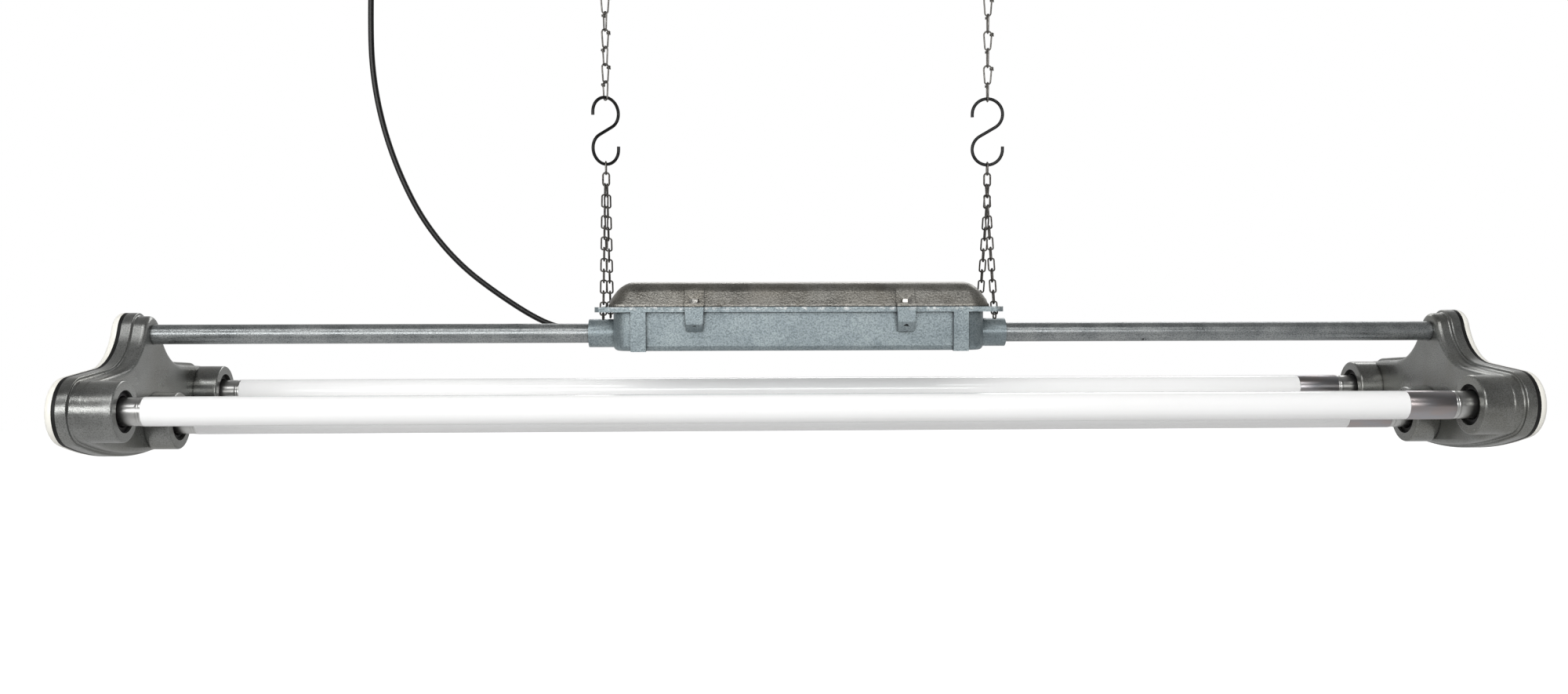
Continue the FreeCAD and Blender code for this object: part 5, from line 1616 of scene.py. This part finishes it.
# ---------------------------------------------------------------- castings and the rest
@dataclass
class Castings:
    """Pieces whose CAD shape is right and only need their finish, with the lid's ends drawn out at the foot."""

    finishes: Finishes
    lid_foot: float = 25.2
    lid_rise: float = 21.5
    lid_spread: float = 5.0
    lid_end: float = 178.3
    seat_gap: float = 0.04
    lid_spread_from: float = 130.0

    def build(self) -> None:
        """Dresses the CAD nodes."""
        f = self.finishes
        dressed = {
            "gear_box_body": f.box_paint,
            "gear_box_lid": f.lid_paint,
            "head_left": f.head_paint,
            "head_right": f.head_paint,
            "conduit_left": f.conduit_paint,
            "conduit_right": f.conduit_paint,
            "end_cover_left": f.cover,
            "end_cover_right": f.cover,
        }
        owner = {n: b for b, ns in frame["record"]["behaviour"]["bodies"].items() for n in ns}
        for node, material in dressed.items():
            mesh = polished(node)
            if node == "gear_box_lid":
                self.spread(mesh)
            show(f"{node}_dressed", mesh, material, owner[node], [node])
        plain = {
            "lid_gasket": f.rubber,
            "cover_gasket_left": f.rubber,
            "cover_gasket_right": f.rubber,
            "seal_rings_left": f.rubber,
            "seal_rings_right": f.rubber,
            "conduit_lock_nuts": f.bolt_steel,
            "mounting_tray": f.sheet_steel,
            "terminal_block": f.connector,
            "supply_connector": f.connector,
            "supply_cores": f.core,
            "cable_gland": f.gland,
            "retaining_links": f.bridle_wire,
        }
        for lamp in Lamp:
            for side in Side:
                plain[f"lampholder_{lamp.word}_{side.word}"] = f.holder
        for node, material in plain.items():
            mesh = polished(node)
            if node == "lid_gasket":
                self.spread(mesh)
                for vert in mesh.vertices:
                    if vert.co.z / MM + DROP > self.lid_foot + 0.4:
                        vert.co.z -= self.seat_gap * MM
            show(f"{node}_dressed", mesh, material, owner[node], [node])

    def spread(self, mesh: bpy.types.Mesh) -> None:
        """Draws the lid's ends outwards, most at the foot and not at all at the top.

        Args:
            mesh: the mesh to change.
        """
        for vert in mesh.vertices:
            if abs(vert.co.x) > self.lid_spread_from * MM:
                height = (vert.co.z / MM + DROP - self.lid_foot) / self.lid_rise
                reach = abs(vert.co.x) + self.lid_spread * MM * (1 - min(max(height, 0.0), 1.0))
                vert.co.x = math.copysign(max(abs(vert.co.x), min(reach, self.lid_end * MM)), vert.co.x)


# ---------------------------------------------------------------- studio
@dataclass
class Studio:
    """White studio: camera, soft lamps, pale floor and a white surround."""

    lens: float = 31.107
    camera_mm: Point = (-65.96, -1304.33, 37.48)
    yaw: float = -2.304
    pitch: float = 2.254
    roll: float = -0.107
    floor_height: float = -3.4
    ambient_below: float = 0.1
    ambient_above: float = 0.46
    room: float = 0.12
    backdrop: float = 0.62
    floor_reach: float = 30.0
    floor_seen: float = 0.72
    floor_mirrored: float = 0.12
    aim: Point = (0.0, 0.0, -0.35)
    low_aim: Point = (0.0, 0.0, -0.38)
    left_aim: Point = (-0.4, 0.0, -0.4)
    rear_aim: Point = (0.0, 0.0, -0.4)

    def build(self) -> None:
        """Makes the studio."""
        self.camera()
        self.surround()
        self.floor()
        self.lamp("front_panel", (-0.5, -2.95, 0.22), self.low_aim, (3.6, 0.8), 47.0)
        self.lamp("upper_panel", (-0.3, -1.9, 1.55), self.aim, (3.0, 0.5), 22.0)
        self.lamp("left_panel", (-2.4, -1.9, 0.1), self.left_aim, (0.9, 1.3), 11.0)
        self.lamp("rear_panel", (0.7, 2.7, 1.5), self.rear_aim, (3.0, 0.8), 26.0)
        bpy.context.scene.view_settings.view_transform = "Standard"

    def camera(self) -> None:
        """Places the camera where the photograph was taken."""
        data = bpy.data.cameras.new("camera")
        data.lens = self.lens
        data.sensor_width = 36.0
        data.clip_start, data.clip_end = 0.01, 100.0
        yaw, pitch, roll = (math.radians(a) for a in (self.yaw, self.pitch, self.roll))
        ahead = Vector((math.sin(-yaw) * math.cos(pitch), math.cos(yaw) * math.cos(pitch), -math.sin(pitch)))
        right = Vector((ahead.y, -ahead.x, 0)).normalized()
        up = right.cross(ahead)
        right, up = (
            right * math.cos(roll) + up * math.sin(roll),
            up * math.cos(roll) - right * math.sin(roll),
        )
        camera = bpy.data.objects.new("camera", data)
        turn = Matrix((right, up, -ahead)).transposed().to_4x4()
        camera.matrix_world = Matrix.Translation(place(*self.camera_mm)) @ turn
        bpy.context.scene.collection.objects.link(camera)
        bpy.context.scene.camera = camera

    def surround(self) -> None:
        """Makes the world: plain light on the object, white to the camera, pale and dim in reflections."""
        world = bpy.data.worlds.new("surround")
        world.use_nodes = True
        tree = world.node_tree
        tree.nodes.clear()
        path = add_node(tree, "ShaderNodeLightPath").outputs
        way = add_node(tree, "ShaderNodeTexCoord").outputs["Generated"]
        parts = add_node(tree, "ShaderNodeSeparateXYZ", {"Vector": way}).outputs
        ambient = add_node(
            tree,
            "ShaderNodeMapRange",
            {
                "Value": parts["Z"],
                "From Min": -0.6,
                "From Max": 0.6,
                "To Min": self.ambient_below,
                "To Max": self.ambient_above,
            },
        )
        # A reflection sees the white backdrop behind the light and the dim room before, above and below it.
        behind = add_node(
            tree, "ShaderNodeMapRange", {"Value": parts["Y"], "From Min": -0.3, "From Max": 0.25}, clamp=True
        )
        height = add_node(tree, "ShaderNodeMath", {0: parts["Z"]}, operation="ABSOLUTE")
        level = add_node(
            tree,
            "ShaderNodeMapRange",
            {"Value": height.outputs[0], "From Min": 0.3, "From Max": 0.8, "To Min": 1.0, "To Max": 0.3},
        )
        share = add_node(
            tree, "ShaderNodeMath", {0: behind.outputs[0], 1: level.outputs[0]}, operation="MULTIPLY"
        )
        mirrored = add_node(
            tree, "ShaderNodeMapRange", {"Value": share.outputs[0], "To Min": self.room, "To Max": self.backdrop}
        )
        shining = add_node(
            tree, "ShaderNodeMix", {0: path["Is Glossy Ray"], 2: ambient.outputs[0], 3: mirrored.outputs[0]}
        )
        white = add_node(
            tree,
            "ShaderNodeMath",
            {0: path["Is Camera Ray"], 1: path["Is Transmission Ray"]},
            operation="MAXIMUM",
        )
        strength = add_node(tree, "ShaderNodeMix", {0: white.outputs[0], 2: shining.outputs[0], 3: 1.0})
        glow = add_node(tree, "ShaderNodeBackground", {"Strength": strength.outputs[0]})
        glow.inputs["Color"].default_value = (1, 1, 1, 1)
        add_node(tree, "ShaderNodeOutputWorld", {"Surface": glow.outputs[0]})
        bpy.context.scene.world = world

    def floor(self) -> None:
        """Makes the pale floor below the light."""
        mesh = bpy.data.meshes.new("floor")
        reach = self.floor_reach
        corners = [(-reach, -reach), (reach, -reach), (reach, reach), (-reach, reach)]
        mesh.from_pydata([(x, y, self.floor_height) for x, y in corners], [], [(0, 1, 2, 3)])
        material = bpy.data.materials.new("pale_floor")
        material.use_nodes = True
        tree = material.node_tree
        tree.nodes.clear()
        path = add_node(tree, "ShaderNodeLightPath").outputs
        mirrored = add_node(
            tree, "ShaderNodeMath", {0: path["Is Glossy Ray"], 1: self.floor_mirrored}, operation="MULTIPLY"
        )
        seen = add_node(
            tree,
            "ShaderNodeMath",
            {0: path["Is Camera Ray"], 1: path["Is Transmission Ray"]},
            operation="MAXIMUM",
        )
        direct = add_node(
            tree, "ShaderNodeMath", {0: seen.outputs[0], 1: self.floor_seen}, operation="MULTIPLY"
        )
        lift = add_node(
            tree, "ShaderNodeMath", {0: direct.outputs[0], 1: mirrored.outputs[0]}, operation="MAXIMUM"
        )
        paint = add_node(tree, "ShaderNodeBsdfDiffuse", {"Color": linear("f4f4f4")})
        glow = add_node(tree, "ShaderNodeEmission", {"Strength": lift.outputs[0]})
        both = add_node(tree, "ShaderNodeAddShader", {0: paint.outputs[0], 1: glow.outputs[0]})
        add_node(tree, "ShaderNodeOutputMaterial", {"Surface": both.outputs[0]})
        mesh.materials.append(material)
        floor = bpy.data.objects.new("floor", mesh)
        bpy.context.scene.collection.objects.link(floor)

    def lamp(self, name: str, spot: Point, aim: Point, size: tuple[float, float], power: float) -> None:
        """Hangs one soft panel.

        Args:
            name: the panel's name.
            spot: its place, in metres.
            aim: the point it faces.
            size: its width and height, in metres.
            power: its power, in watts.
        """
        data = bpy.data.lights.new(name, "AREA")
        data.shape = "RECTANGLE"
        data.size, data.size_y = size
        data.energy = power
        lamp = bpy.data.objects.new(name, data)
        lamp.location = spot
        lamp.rotation_mode = "QUATERNION"
        lamp.rotation_quaternion = (Vector(aim) - Vector(spot)).to_track_quat("-Z", "Y")
        bpy.context.scene.collection.objects.link(lamp)


def main() -> None:
    """Builds the light piece by piece."""
    logging.basicConfig(level=logging.INFO, format="%(message)s")
    finishes = Finishes()
    Studio().build()
    SupplyCable(finishes).build()
    Suspension(LinkTree(), finishes).build()
    Castings(finishes).build()
    Fasteners(PatternTree(), finishes).build()
    GlandNut(finishes).build()
    for lamp in Lamp:
        TubeLamp(finishes, lamp).build()


if __name__ == "__main__":
    main()
